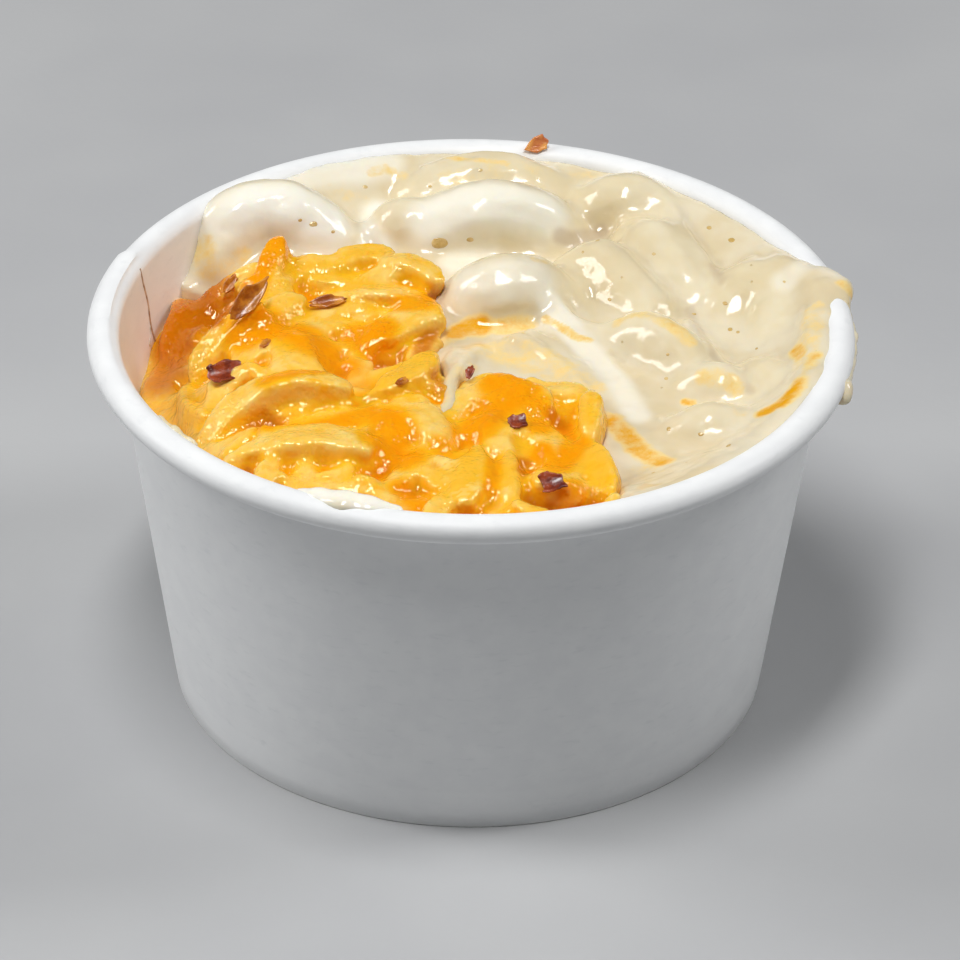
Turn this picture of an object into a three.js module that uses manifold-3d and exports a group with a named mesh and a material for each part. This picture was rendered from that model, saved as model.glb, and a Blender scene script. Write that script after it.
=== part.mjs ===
// Mac and cheese in a rolled-rim paper tub: elbow macaroni under a thick cheese sauce on one side,
// a heap of coarse cheddar-glazed shreds on the other.
// Millimetres, +Z up, origin on the tub's axis at the surface it stands on, front towards -Y.

import * as THREE from 'three';
import { mergeVertices } from 'three/addons/utils/BufferGeometryUtils.js';
import Module from 'manifold-3d';

const wasm = await Module();
wasm.setup();

// ---- driving dimensions ---------------------------------------------------------------------

const rimRadius = 48;            // outside of the rolled rim
const baseRadius = 38.1;         // outside of the wall at the table
const tubHeight = 51.1;          // table to the top of the rim
const wallSlope = 0.131;         // outward lean of the wall for each millimetre up
const paper = 0.5;               // thickness of the board
const fit = 0.3;                 // clearance between touching pieces
const rimHalfHeight = 1.7;       // the rolled rim is a slightly flattened roll
const rimTurn = 300;             // degrees that the paper turns in the roll
const rimSteps = 10;             // facets along the roll
const around = 56;               // facets round the tub

const floorHeight = 6.2;         // top of the tub's recessed floor
const hemHeight = 5.0;           // the wall's foot is folded up inside the floor's skirt
const skirtFoot = 0.8;           // lowest edge of the floor's skirt

const shredLevel = 47.3;         // usual top of the shred heap
const ridgeRise = 2.0;           // the heap's crest along its back edge
const ridgeY = 16;
const ridgeSpread = 6;
const leftShoulder = 27;         // beyond this the heap falls to the left wall
const leftFall = 0.78;
const shredDepth = 2.6;          // loose shreds lie this deep over the heap's core

const sauceLevel = 45.4;         // sauce between the macaroni
const sauceClimb = 4.1;          // and how far it rises to the rim
const climbStart = 33;
const sauceSwell = 2.6;          // the coat thickens over each elbow
const swellSpread = 6.5;
const sauceRun = 6;              // how far the sauce runs down at the heap's low left end

const coreRadius = 46;           // cores are made too wide, then trimmed to the tub
const coreRings = 12;
const coreSectors = 52;

const elbowSides = 10;
const elbowSteps = 8;
const shredSides = 6;

// ---- solids and meshes ----------------------------------------------------------------------

function solid(geometry) {
  geometry.deleteAttribute('normal');
  geometry.deleteAttribute('uv');
  const merged = mergeVertices(geometry, 1e-4);
  return new wasm.Manifold(new wasm.Mesh({
    numProp: 3,
    vertProperties: new Float32Array(merged.attributes.position.array),
    triVerts: new Uint32Array(merged.index.array),
  }));
}

function largestBody(joined) {
  let best = null;
  for (const body of joined.decompose()) {
    if (best === null || body.volume() > best.volume()) best = body;
  }
  return best;
}

function geometryOf(body) {
  const mesh = body.getMesh();
  const geometry = new THREE.BufferGeometry();
  geometry.setAttribute('position', new THREE.BufferAttribute(new Float32Array(mesh.vertProperties), 3));
  geometry.setIndex(new THREE.BufferAttribute(new Uint32Array(mesh.triVerts), 1));
  geometry.computeVertexNormals();
  return geometry;
}

function piece(name, geometry, finish) {
  const mesh = new THREE.Mesh(geometry, new THREE.MeshStandardMaterial(finish));
  mesh.name = name;
  return mesh;
}

// A closed skin over a row of rings, each with the same number of points, and a fan at either end.
function loft(rings) {
  const count = rings[0].length;
  const positions = [];
  const index = [];
  for (const ring of rings) {
    for (const point of ring) positions.push(point.x, point.y, point.z);
  }
  for (let row = 0; row + 1 < rings.length; row += 1) {
    for (let i = 0; i < count; i += 1) {
      const a = row * count + i;
      const b = row * count + (i + 1) % count;
      index.push(a, b, a + count, b, b + count, a + count);
    }
  }
  for (const [ring, row, flip] of [[rings[0], 0, true], [rings.at(-1), rings.length - 1, false]]) {
    const centre = new THREE.Vector3();
    ring.forEach((point) => centre.addScaledVector(point, 1 / count));
    const tip = positions.length / 3;
    positions.push(centre.x, centre.y, centre.z);
    for (let i = 0; i < count; i += 1) {
      const a = row * count + i;
      const b = row * count + (i + 1) % count;
      if (flip) index.push(b, a, tip);
      else index.push(a, b, tip);
    }
  }
  const geometry = new THREE.BufferGeometry();
  geometry.setAttribute('position', new THREE.Float32BufferAttribute(positions, 3));
  geometry.setIndex(index);
  return geometry;
}

// Turns a closed profile of [radius, height] points about the tub's axis.
function turned(profile) {
  const points = profile.map(([radius, height]) => new THREE.Vector2(radius, height));
  const geometry = new THREE.LatheGeometry(points, around);
  geometry.rotateX(Math.PI / 2);
  return geometry;
}

function smooth(low, high, value) {
  return THREE.MathUtils.smoothstep(value, low, high);
}

// ---- the paper tub --------------------------------------------------------------------------

const outerRadius = (z) => baseRadius + wallSlope * z;
const innerRadius = (z) => outerRadius(z) - paper;

const rimZ = tubHeight - rimHalfHeight;
const rimHalfWidth = (rimRadius - innerRadius(rimZ)) / 2;
const rimCentre = rimRadius - rimHalfWidth;

function rimPoint(degrees, outward) {
  const angle = THREE.MathUtils.degToRad(degrees);
  return [
    rimCentre + (rimHalfWidth + outward) * Math.cos(angle),
    rimZ + (rimHalfHeight + outward) * Math.sin(angle),
  ];
}

function paperWall() {
  const rollInside = [];
  const rollOutside = [];
  for (let step = 0; step <= rimSteps; step += 1) {
    const degrees = 180 - rimTurn * step / rimSteps;
    rollInside.push(rimPoint(degrees, -paper));
    rollOutside.unshift(rimPoint(degrees, 0));
  }
  const channelOuter = innerRadius(paper);
  const channelInner = channelOuter - paper - 2 * fit;
  const hemRise = wallSlope * hemHeight;
  const profile = [
    [baseRadius, 0],
    ...rollInside,
    ...rollOutside,
    [channelOuter, paper],
    [channelInner, paper],
    [channelInner + hemRise, hemHeight],
    [channelInner + hemRise - paper, hemHeight],
    [channelInner - paper, 0],
    [baseRadius, 0],
  ];
  return piece('paper_wall', turned(profile), { color: 0xf1f1ee, roughness: 0.62, metalness: 0 });
}

function baseDisc() {
  const skirtOut = (z) => innerRadius(z) - fit;
  const profile = [
    [0, floorHeight - paper],
    [skirtOut(floorHeight - paper) - paper, floorHeight - paper],
    [skirtOut(skirtFoot) - paper, skirtFoot],
    [skirtOut(skirtFoot), skirtFoot],
    [skirtOut(floorHeight), floorHeight],
    [0, floorHeight],
  ];
  return piece('base_disc', turned(profile), { color: 0xeeeeea, roughness: 0.65, metalness: 0 });
}

// The room inside the tub, a fit smaller all round and open upwards past the rim.
function tubRoom() {
  const bottom = floorHeight + fit;
  const headroom = tubHeight + 10;
  const profile = [
    [0, bottom],
    [innerRadius(bottom) - fit, bottom],
    [innerRadius(rimZ) - fit, rimZ],
    [innerRadius(rimZ) - fit, headroom],
    [0, headroom],
  ];
  return solid(turned(profile));
}

// ---- the line between shreds and sauce ------------------------------------------------------

// Seen from above, from behind the left wall to in front of the front wall.
const divide = [
  [-55, 30], [-37, 23.5], [-30, 20.5], [-24, 22], [-16, 20.5], [-8, 20.5], [-4.6, 15],
  [-4.6, 7], [-2.5, 1], [3.5, 0.5], [10, -5], [15, -10], [18, -15], [18.8, -23], [20, -31],
  [21, -38], [24, -58],
].map(([x, y]) => new THREE.Vector2(x, y));

function shredGround(grow) {
  const line = new THREE.SplineCurve(divide).getPoints(34);
  const shifted = line.map((point, i) => {
    const before = line[Math.max(i - 1, 0)];
    const after = line[Math.min(i + 1, line.length - 1)];
    const along = after.clone().sub(before).normalize();
    return new THREE.Vector2(point.x - along.y * grow, point.y + along.x * grow);
  });
  return [...shifted, new THREE.Vector2(-60, -60), new THREE.Vector2(-70, 30)];
}

function curtain(grow) {
  const shape = new THREE.Shape(shredGround(grow));
  return solid(new THREE.ExtrudeGeometry(shape, { depth: 80, bevelEnabled: false, steps: 1 }));
}

function isOver(outline, x, y) {
  let inside = false;
  outline.forEach((a, i) => {
    const b = outline[(i + 1) % outline.length];
    const crosses = (a.y > y) !== (b.y > y);
    if (crosses && x < a.x + (b.x - a.x) * (y - a.y) / (b.y - a.y)) inside = !inside;
  });
  return inside;
}

// ---- macaroni -------------------------------------------------------------------------------

// Each elbow runs from one end over its crown to the other end, coated in sauce.
const elbows = [
  { from: [-32.5, 29, 41.5], over: [-25.5, 31.5, 47.0], to: [-17.5, 28, 42.0], radius: 4.5 },
  { from: [-9.5, 29.5, 45.5], over: [2.5, 32.5, 48.4], to: [11, 29, 43.0], radius: 4.6 },
  { from: [-1.5, 9.5, 43.0], over: [3, 12.5, 46.4], to: [9.5, 14.5, 43.5], radius: 5.0 },
  { from: [13, 21, 44.5], over: [19, 15.5, 45.8], to: [24, 7, 43.0], radius: 4.2 },
  { from: [17.5, 29.5, 43.5], over: [23, 27.5, 46.4], to: [26.5, 19.5, 43.5], radius: 4.5 },
  { from: [13.5, 36.5, 44.5], over: [19.5, 36, 46.4], to: [26, 32.5, 44.0], radius: 4.0 },
  { from: [32.5, 15.5, 43.5], over: [36, 12.5, 45.4], to: [37.5, 4.5, 43.5], radius: 4.2 },
  { from: [18, 3.5, 44.0], over: [23, 3.5, 45.6], to: [28, -1, 43.5], radius: 3.8 },
  { from: [25, -3.5, 43.5], over: [30, -6, 45.6], to: [34, -12, 43.5], radius: 3.9 },
  { from: [25, -15, 43.5], over: [31, -16.5, 45.4], to: [36, -20, 43.0], radius: 3.8 },
  { from: [-10.5, 37, 44.5], over: [0, 39, 47.0], to: [10.5, 37, 45.0], radius: 3.8 },
];

// ---- cores ----------------------------------------------------------------------------------

function shredTop(x, y) {
  const ridge = ridgeRise * Math.exp(-(((y - ridgeY) / ridgeSpread) ** 2));
  const fall = Math.max(0, -x - leftShoulder) * leftFall;
  return shredLevel + ridge - fall;
}

function sauceTop(x, y) {
  const climb = sauceClimb * smooth(climbStart, innerRadius(rimZ), Math.hypot(x, y));
  const run = sauceRun * smooth(26, 35, -x) * smooth(-30, -22, -y);
  const nearest = Math.min(...elbows.map(({ from, over, to }) => (
    Math.min(...[from, over, to].map(([ex, ey]) => Math.hypot(ex - x, ey - y)))
  )));
  const swell = sauceSwell * Math.exp(-((nearest / swellSpread) ** 2));
  return sauceLevel + Math.max(climb, swell) - run;
}

function core(topAt) {
  const ringAt = (radius, heightAt) => {
    const ring = [];
    for (let i = 0; i < coreSectors; i += 1) {
      const angle = 2 * Math.PI * i / coreSectors;
      const x = radius * Math.cos(angle);
      const y = radius * Math.sin(angle);
      ring.push(new THREE.Vector3(x, y, heightAt(x, y)));
    }
    return ring;
  };
  const rings = [ringAt(coreRadius, () => 0)];
  for (let step = 0; step < coreRings; step += 1) {
    rings.push(ringAt(coreRadius * (1 - step / coreRings), topAt));
  }
  return solid(loft(rings));
}

// ---- sweeps ---------------------------------------------------------------------------------

const ringFrame = (tangent, roll) => {
  const side = new THREE.Vector3(0, 0, 1).cross(tangent).normalize();
  const up = tangent.clone().cross(side);
  return [
    side.clone().multiplyScalar(Math.cos(roll)).addScaledVector(up, Math.sin(roll)),
    up.clone().multiplyScalar(Math.cos(roll)).addScaledVector(side, -Math.sin(roll)),
  ];
};

function arcThrough(from, over, to) {
  return new THREE.CatmullRomCurve3([from, over, to].map((point) => new THREE.Vector3(...point)));
}

function elbow({ from, over, to, radius }) {
  const arc = arcThrough(from, over, to);
  const length = arc.getLength();
  const rings = [];
  for (let step = 0; step <= elbowSteps; step += 1) {
    // the end rings draw together, so that the tube closes in a dome
    const swing = -Math.cos(Math.PI * step / elbowSteps);
    const along = THREE.MathUtils.clamp(0.5 + 0.5 * swing, 0.004, 0.996);
    const toEnd = Math.min(along, 1 - along) * length;
    const dome = Math.min(1, toEnd / radius);
    const girth = radius * Math.sqrt(1 - (1 - dome) ** 2);
    const centre = arc.getPointAt(along);
    const [side, up] = ringFrame(arc.getTangentAt(along), 0);
    const ring = [];
    for (let i = 0; i < elbowSides; i += 1) {
      const angle = 2 * Math.PI * i / elbowSides;
      ring.push(centre.clone()
        .addScaledVector(side, girth * Math.cos(angle))
        .addScaledVector(up, girth * Math.sin(angle)));
    }
    rings.push(ring);
  }
  return solid(loft(rings));
}

// A torn flake or chip, thin and many-sided.
function chip({ at, size, turn, lean }) {
  const geometry = new THREE.IcosahedronGeometry(0.5, 0);
  geometry.scale(...size);
  geometry.rotateX(THREE.MathUtils.degToRad(lean));
  geometry.rotateZ(THREE.MathUtils.degToRad(turn));
  geometry.translate(...at);
  return solid(geometry);
}

const redChip = { at: [8.2, 42.0, 50.6], size: [4.4, 1.6, 3.6], turn: 12, lean: 14 };

function saucedMacaroni(room) {
  let body = core(sauceTop);
  for (const one of elbows) body = body.add(elbow(one));
  body = body.add(chip(redChip));
  body = body.intersect(room).subtract(curtain(fit));
  return piece('sauced_macaroni', geometryOf(largestBody(body)), {
    color: 0xeadfc4, roughness: 0.25, metalness: 0,
  });
}

// ---- sauce that ran over the rim ------------------------------------------------------------

const spillFrom = -21;           // degrees about the axis, 0 towards +X
const spillTo = 23;
const spillSteps = 16;
const spillInside = 158;         // degrees round the rolled rim, 90 at its top
const spillOutside = -28;
const spillPoints = 7;
const spillThin = 0.35;
const spillDrips = [
  { at: 17, spread: 4.5, swell: 0.55 },
  { at: 8.5, spread: 3.5, swell: 0.8 },
  { at: -1, spread: 2.5, swell: 0.65 },
  { at: -16, spread: 3.5, swell: 0.9 },
];

function spillThickness(degrees) {
  let thickness = spillThin;
  for (const drip of spillDrips) {
    thickness += drip.swell * Math.exp(-(((degrees - drip.at) / drip.spread) ** 2));
  }
  return thickness;
}

function rimSauce() {
  const rings = [];
  for (let step = 0; step <= spillSteps; step += 1) {
    const share = step / spillSteps;
    const degrees = spillTo + (spillFrom - spillTo) * share;
    const taper = Math.sqrt(Math.max(0.05, Math.sin(Math.PI * share)));
    const lower = spillInside + (spillOutside - spillInside) * (0.6 + 0.4 * taper);
    const angle = THREE.MathUtils.degToRad(degrees);
    const outside = [];
    const inside = [];
    for (let i = 0; i <= spillPoints; i += 1) {
      const turn = spillInside + (lower - spillInside) * i / spillPoints;
      const swell = 0.45 + 0.55 * Math.sin(Math.PI * (0.12 + 0.8 * i / spillPoints));
      const fullness = taper * swell * (0.7 + 0.5 * i / spillPoints);
      inside.push(rimPoint(turn, -paper));
      outside.unshift(rimPoint(turn, fit + spillThickness(degrees) * fullness));
    }
    rings.push([...inside, ...outside].map(([radius, z]) => (
      new THREE.Vector3(radius * Math.cos(angle), radius * Math.sin(angle), z)
    )));
  }
  const keepOff = [];
  for (let step = 0; step <= rimSteps; step += 1) keepOff.push(rimPoint(360 * step / rimSteps, fit));
  const spill = solid(loft(rings)).subtract(solid(turned(keepOff)));
  return piece('rim_sauce', geometryOf(largestBody(spill)), {
    color: 0xf0e9d6, roughness: 0.25, metalness: 0,
  });
}

// ---- shreds ---------------------------------------------------------------------------------

// The large pieces that show: where each lies, the way it points (degrees, 0 along +X), how it is
// bent along its length, how far it stands out of the heap and how steeply it climbs.
const bigShreds = [
  { at: [-19.8, -25.2], turn: -2, length: 16.5, width: 6.2, bend: 2.0, lift: 0.4, climb: 0 },
  { at: [-26.2, -14.6], turn: 32, length: 19, width: 5.2, bend: 3.2, lift: 0.6, climb: 2 },
  { at: [-15.0, -15.5], turn: 10, length: 13, width: 4.6, bend: -1, lift: 0.3, climb: 0 },
  { at: [-8.3, -9.0], turn: 48, length: 13, width: 5.4, bend: -1.6, lift: 1.0, climb: 0 },
  { at: [-6.0, -18.5], turn: -65, length: 11, width: 6.0, bend: 1.2, lift: 0.6, climb: 0 },
  { at: [-32.0, 3.0], turn: 30, length: 10.5, width: 6.0, bend: 1.6, lift: 2.2, climb: 3 },
  { at: [-34.8, -6.0], turn: 98, length: 15, width: 5.0, bend: 1.2, lift: 1.0, climb: 1 },
  { at: [-37.4, 15.5], turn: 108, length: 14, width: 7.0, bend: -1.0, lift: 0.6, climb: 2 },
  { at: [-38.2, -0.5], turn: 112, length: 15, width: 5.0, bend: -1.2, lift: 0.2, climb: -1 },
  { at: [-26.0, 15.0], turn: 72, length: 11, width: 4.6, bend: 0, lift: 0.6, climb: 6.5 },
  { at: [-19.5, 16.0], turn: 20, length: 9, width: 4.4, bend: 0.8, lift: 0.6, climb: 1 },
  { at: [-13.2, 17.6], turn: 8, length: 10, width: 5.2, bend: 1.2, lift: 0.9, climb: 1 },
  { at: [-7.2, 14.8], turn: -28, length: 9, width: 5.4, bend: 0.8, lift: 0.6, climb: -1 },
  { at: [-11.5, 9.6], turn: -6, length: 13, width: 6.0, bend: 1.5, lift: 0.6, climb: 0 },
  { at: [-9.0, 2.8], turn: 32, length: 12, width: 6.4, bend: 1.4, lift: 1.2, climb: 1 },
  { at: [-20.6, -3.0], turn: -70, length: 12, width: 6.0, bend: 1.5, lift: 0.6, climb: 0 },
  { at: [-25.0, 5.5], turn: 48, length: 12, width: 4.8, bend: 1.0, lift: 0.4, climb: 1 },
  { at: [14.9, -17.5], turn: -92, length: 11, width: 4.0, bend: 0, lift: 1.6, climb: -1 },
  { at: [15.6, -28.5], turn: -80, length: 12, width: 4.6, bend: 0.6, lift: 0.2, climb: -1 },
  { at: [0.2, -31.0], turn: -90, length: 12, width: 5.0, bend: 0.4, lift: 0.8, climb: -1 },
  { at: [4.9, -31.5], turn: -84, length: 11, width: 4.4, bend: -0.4, lift: 0.4, climb: -1 },
  { at: [9.9, -31.0], turn: -12, length: 9, width: 6.0, bend: 0.4, lift: 0.3, climb: 0 },
  { at: [4.5, -12.0], turn: -32, length: 13, width: 7.0, bend: 1.8, lift: 1.0, climb: 0 },
  { at: [11.2, -11.6], turn: -6, length: 8, width: 5.0, bend: 0.6, lift: 0.6, climb: 0 },
  { at: [-9.0, -30.5], turn: -14, length: 13, width: 5.0, bend: 1.0, lift: 0.0, climb: 0 },
];

const flakes = [
  { at: [-30.2, -2.0, 46.6], size: [5.0, 3.0, 1.8], turn: 28, lean: 0 },
  { at: [-27.8, 8.4, 48.6], size: [4.4, 1.8, 2.6], turn: 52, lean: 30 },
  { at: [-18.8, 8.0, 49.0], size: [4.6, 1.8, 1.6], turn: 12, lean: 0 },
  { at: [5.8, -20.4, 48.2], size: [2.4, 2.4, 1.6], turn: 0, lean: 0 },
  { at: [9.6, -33.0, 48.0], size: [3.0, 2.6, 1.8], turn: 20, lean: 0 },
  { at: [-31.6, 17.6, 45.4], size: [3.0, 1.4, 2.6], turn: 60, lean: 20 },
];

const fillCount = 70;            // places tried for the rest of the heap
const fillGap = 4.2;             // skipped nearer than this to a large shred's middle
const goldenAngle = Math.PI * (3 - Math.sqrt(5));

let seed = 20261;
function draw(low, high) {
  seed = (seed * 1664525 + 1013904223) % 4294967296;
  return low + (high - low) * seed / 4294967296;
}

function shred({ at: [x, y], turn, length, width, bend, lift, climb, thick = 2.8 }) {
  const angle = THREE.MathUtils.degToRad(turn);
  const [dx, dy] = [Math.cos(angle), Math.sin(angle)];
  const place = (along, aside, rise) => {
    const px = x + dx * along - dy * aside;
    const py = y + dy * along + dx * aside;
    return [px, py, shredTop(px, py) + lift + rise - thick / 2];
  };
  const arc = arcThrough(
    place(-length / 2, -bend, -climb / 2),
    place(0, bend * 0.5, 0),
    place(length / 2, -bend, climb / 2),
  );
  const rings = [[0, 0.45], [0.14, 0.9], [0.5, 1.0], [0.86, 0.85], [1, 0.35]].map(([along, girth]) => {
    const centre = arc.getPointAt(along);
    const [side, up] = ringFrame(arc.getTangentAt(along), 0);
    const ring = [];
    for (let i = 0; i < shredSides; i += 1) {
      const turnStep = 2 * Math.PI * i / shredSides;
      ring.push(centre.clone()
        .addScaledVector(side, 0.5 * width * girth * Math.cos(turnStep))
        .addScaledVector(up, 0.58 * thick * (0.4 + 0.6 * girth) * Math.sin(turnStep)));
    }
    return ring;
  });
  return solid(loft(rings));
}

function fillShreds() {
  const ground = shredGround(-3);
  const reach = innerRadius(shredLevel) - 4;
  const found = [];
  for (let i = 0; i < fillCount; i += 1) {
    const radius = reach * Math.sqrt((i + 0.5) / fillCount);
    const x = radius * Math.cos(i * goldenAngle) + draw(-1, 1);
    const y = radius * Math.sin(i * goldenAngle) + draw(-1, 1);
    const one = {
      at: [x, y],
      turn: draw(0, 180),
      length: draw(9, 14),
      width: draw(3.4, 5),
      bend: draw(-1.5, 1.5),
      lift: draw(-0.9, 0.1),
      climb: draw(-1.5, 1.5),
    };
    const crowded = bigShreds.some(({ at }) => Math.hypot(at[0] - x, at[1] - y) < fillGap);
    if (isOver(ground, x, y) && !crowded) found.push(one);
  }
  return found;
}

function shredHeap(room) {
  let body = core((x, y) => shredTop(x, y) - shredDepth);
  for (const one of [...bigShreds, ...fillShreds()]) body = body.add(shred(one));
  for (const flake of flakes) body = body.add(chip(flake));
  body = body.intersect(room).intersect(curtain(0));
  return piece('shred_heap', geometryOf(largestBody(body)), {
    color: 0xf2a832, roughness: 0.35, metalness: 0,
  });
}

// ---- assembly -------------------------------------------------------------------------------

const tub = new THREE.Group();
tub.add(paperWall(), baseDisc(), rimSauce());

const contents = new THREE.Group();
const room = tubRoom();
contents.add(saucedMacaroni(room), shredHeap(room));

const macAndCheese = new THREE.Group();
macAndCheese.add(tub, contents);

export default macAndCheese;
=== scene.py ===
# Mac and cheese in a rolled-rim paper tub: the looks, in metres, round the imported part.
import math

import bpy
import mathutils.kdtree
from mathutils import Matrix, Vector


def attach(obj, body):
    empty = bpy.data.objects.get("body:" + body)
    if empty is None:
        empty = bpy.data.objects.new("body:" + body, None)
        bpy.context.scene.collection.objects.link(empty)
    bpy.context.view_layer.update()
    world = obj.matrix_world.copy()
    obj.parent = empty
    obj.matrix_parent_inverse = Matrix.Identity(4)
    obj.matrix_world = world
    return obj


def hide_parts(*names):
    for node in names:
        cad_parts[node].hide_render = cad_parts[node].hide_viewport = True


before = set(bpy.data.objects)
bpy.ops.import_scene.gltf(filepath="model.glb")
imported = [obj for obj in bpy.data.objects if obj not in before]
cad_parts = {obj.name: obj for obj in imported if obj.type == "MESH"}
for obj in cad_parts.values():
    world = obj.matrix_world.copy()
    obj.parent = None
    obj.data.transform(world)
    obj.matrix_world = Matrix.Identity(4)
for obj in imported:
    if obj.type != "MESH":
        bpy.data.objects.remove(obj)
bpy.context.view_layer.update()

MM = 0.001

# ---- camera, floor and light ----------------------------------------------------------------

AIM = Vector((1.243, 0.0, 26.985)) * MM
CAMERA_DISTANCE = 638.256 * MM
CAMERA_RISE = math.radians(32.467)
CAMERA_ROLL = 0.012
LENS = 187.3
SENSOR = 36.0
FAR_CLIP = 10
FLOOR_WIDTH = 6
SKY_COLOUR = (0.93, 0.96, 1.0, 1)
SKY_STRENGTH = 0.06

# Each softbox: its name, its place, width and height in metres, and its watts.
SOFTBOXES = [
    ("left_softbox", (-0.78, 0.12, 0.56), 0.3, 0.5, 4.1),
    ("top_softbox", (-0.10, -0.22, 0.91), 0.16, 0.42, 5.0),
    ("right_softbox", (0.68, 0.1, 0.70), 0.25, 0.45, 3.2),
]


def place_camera():
    looking = Vector((0, math.cos(CAMERA_RISE), -math.sin(CAMERA_RISE)))
    camera_data = bpy.data.cameras.new("camera")
    camera_data.lens = LENS
    camera_data.sensor_width = SENSOR
    camera_data.clip_end = FAR_CLIP
    camera = bpy.data.objects.new("camera", camera_data)
    bpy.context.scene.collection.objects.link(camera)
    camera.location = AIM - looking * CAMERA_DISTANCE
    turn = looking.to_track_quat("-Z", "Y").to_matrix() @ Matrix.Rotation(CAMERA_ROLL, 3, "Z")
    camera.rotation_euler = turn.to_euler()
    bpy.context.scene.camera = camera


place_camera()


def make_floor(material):
    bpy.ops.mesh.primitive_plane_add(size=FLOOR_WIDTH, location=(0, 0, 0))
    floor = bpy.context.object
    floor.name = "studio_floor"
    floor.data.materials.append(material)


def area_light(name, place, width, height, watts):
    data = bpy.data.lights.new(name, "AREA")
    data.shape = "RECTANGLE"
    data.size = width
    data.size_y = height
    data.energy = watts
    lamp = bpy.data.objects.new(name, data)
    bpy.context.scene.collection.objects.link(lamp)
    lamp.location = place
    lamp.rotation_euler = (AIM - Vector(place)).to_track_quat("-Z", "Y").to_euler()


def light_studio():
    world = bpy.data.worlds.new("studio")
    world.use_nodes = True
    sky = world.node_tree.nodes["Background"].inputs
    sky["Color"].default_value = SKY_COLOUR
    sky["Strength"].default_value = SKY_STRENGTH
    bpy.context.scene.world = world
    for softbox in SOFTBOXES:
        area_light(*softbox)


# ---- working by hand ------------------------------------------------------------------------

def select_only(piece):
    if bpy.context.mode != "OBJECT":
        bpy.ops.object.mode_set(mode="OBJECT")
    bpy.ops.object.select_all(action="DESELECT")
    piece.select_set(True)
    bpy.context.view_layer.objects.active = piece


def edit_selected(piece, kind="VERT"):
    select_only(piece)
    bpy.ops.object.mode_set(mode="EDIT")
    bpy.ops.mesh.select_mode(type=kind)


def edit(piece):
    edit_selected(piece)
    bpy.ops.mesh.select_all(action="SELECT")


def done():
    bpy.ops.object.mode_set(mode="OBJECT")


def settle(piece):
    """Puts the piece's place, turn and size into its mesh."""
    select_only(piece)
    bpy.ops.object.transform_apply(location=True, rotation=True, scale=True)
    return piece


def traced(name, points):
    """An edge path of points, pulled out of one vertex."""
    bpy.ops.object.select_all(action="DESELECT")
    bpy.ops.mesh.primitive_plane_add(size=MM, location=(0, 0, 0))
    piece = bpy.context.object
    piece.name = name
    edit(piece)
    bpy.ops.mesh.merge(type="CENTER")
    bpy.ops.transform.translate(value=points[0])
    for start, end in zip(points, points[1:]):
        step = Vector(end) - Vector(start)
        bpy.ops.mesh.extrude_region_move(TRANSFORM_OT_translate={"value": step})
    done()
    return piece


def spun(name, profile, steps):
    """A profile of (radius, height) in millimetres, turned once about the tub's axis."""
    piece = traced(name, [Vector((radius * MM, 0, height * MM)) for radius, height in profile])
    edit(piece)
    if profile[0][0] > 0:
        bpy.ops.mesh.select_all(action="DESELECT")
        done()
        piece.data.vertices[0].select = True
        piece.data.vertices[-1].select = True
        bpy.ops.object.mode_set(mode="EDIT")
        bpy.ops.mesh.edge_face_add()
    bpy.ops.mesh.select_all(action="SELECT")
    bpy.ops.mesh.spin(steps=steps, angle=2 * math.pi, center=(0, 0, 0), axis=(0, 0, 1))
    bpy.ops.mesh.select_all(action="SELECT")
    bpy.ops.mesh.remove_doubles(threshold=1e-6)
    bpy.ops.mesh.normals_make_consistent(inside=False)
    done()
    return piece


def joined(name, pieces):
    bpy.ops.object.select_all(action="DESELECT")
    for piece in pieces:
        piece.select_set(True)
    bpy.context.view_layer.objects.active = pieces[0]
    bpy.ops.object.join()
    pieces[0].name = name
    return pieces[0]


def modifier(piece, kind, **settings):
    """Adds a modifier with these settings and applies it."""
    select_only(piece)
    bpy.ops.object.modifier_add(type=kind)
    added = piece.modifiers[-1]
    for key, value in settings.items():
        setattr(added, key, value)
    bpy.ops.object.modifier_apply(modifier=added.name)
    return piece


def moulded(piece, voxel):
    return modifier(piece, "REMESH", mode="VOXEL", voxel_size=voxel * MM, use_smooth_shade=True)


def swollen(piece, thickness):
    return modifier(piece, "DISPLACE", strength=thickness * MM, mid_level=0)


def smoothed(piece, rounds):
    return modifier(piece, "SMOOTH", factor=0.5, iterations=rounds)


def roughened(piece, name, size, height):
    """Presses lumps of this size (mm) into the face."""
    lumps = bpy.data.textures.new(name, "CLOUDS")
    lumps.noise_scale = size * MM
    lumps.noise_depth = 2
    return modifier(piece, "DISPLACE", texture=lumps, texture_coords="LOCAL", strength=height * MM,
                    mid_level=0.5)


def doubled(piece):
    select_only(piece)
    bpy.ops.object.duplicate()
    return bpy.context.object


def ball(radius, place=(0, 0, 0), segments=16, rings=10):
    bpy.ops.mesh.primitive_uv_sphere_add(segments=segments, ring_count=rings, radius=radius,
                                         location=place)
    return bpy.context.object


SLAB_WIDTH = 96
SLAB_RADIUS = 45.0


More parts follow.
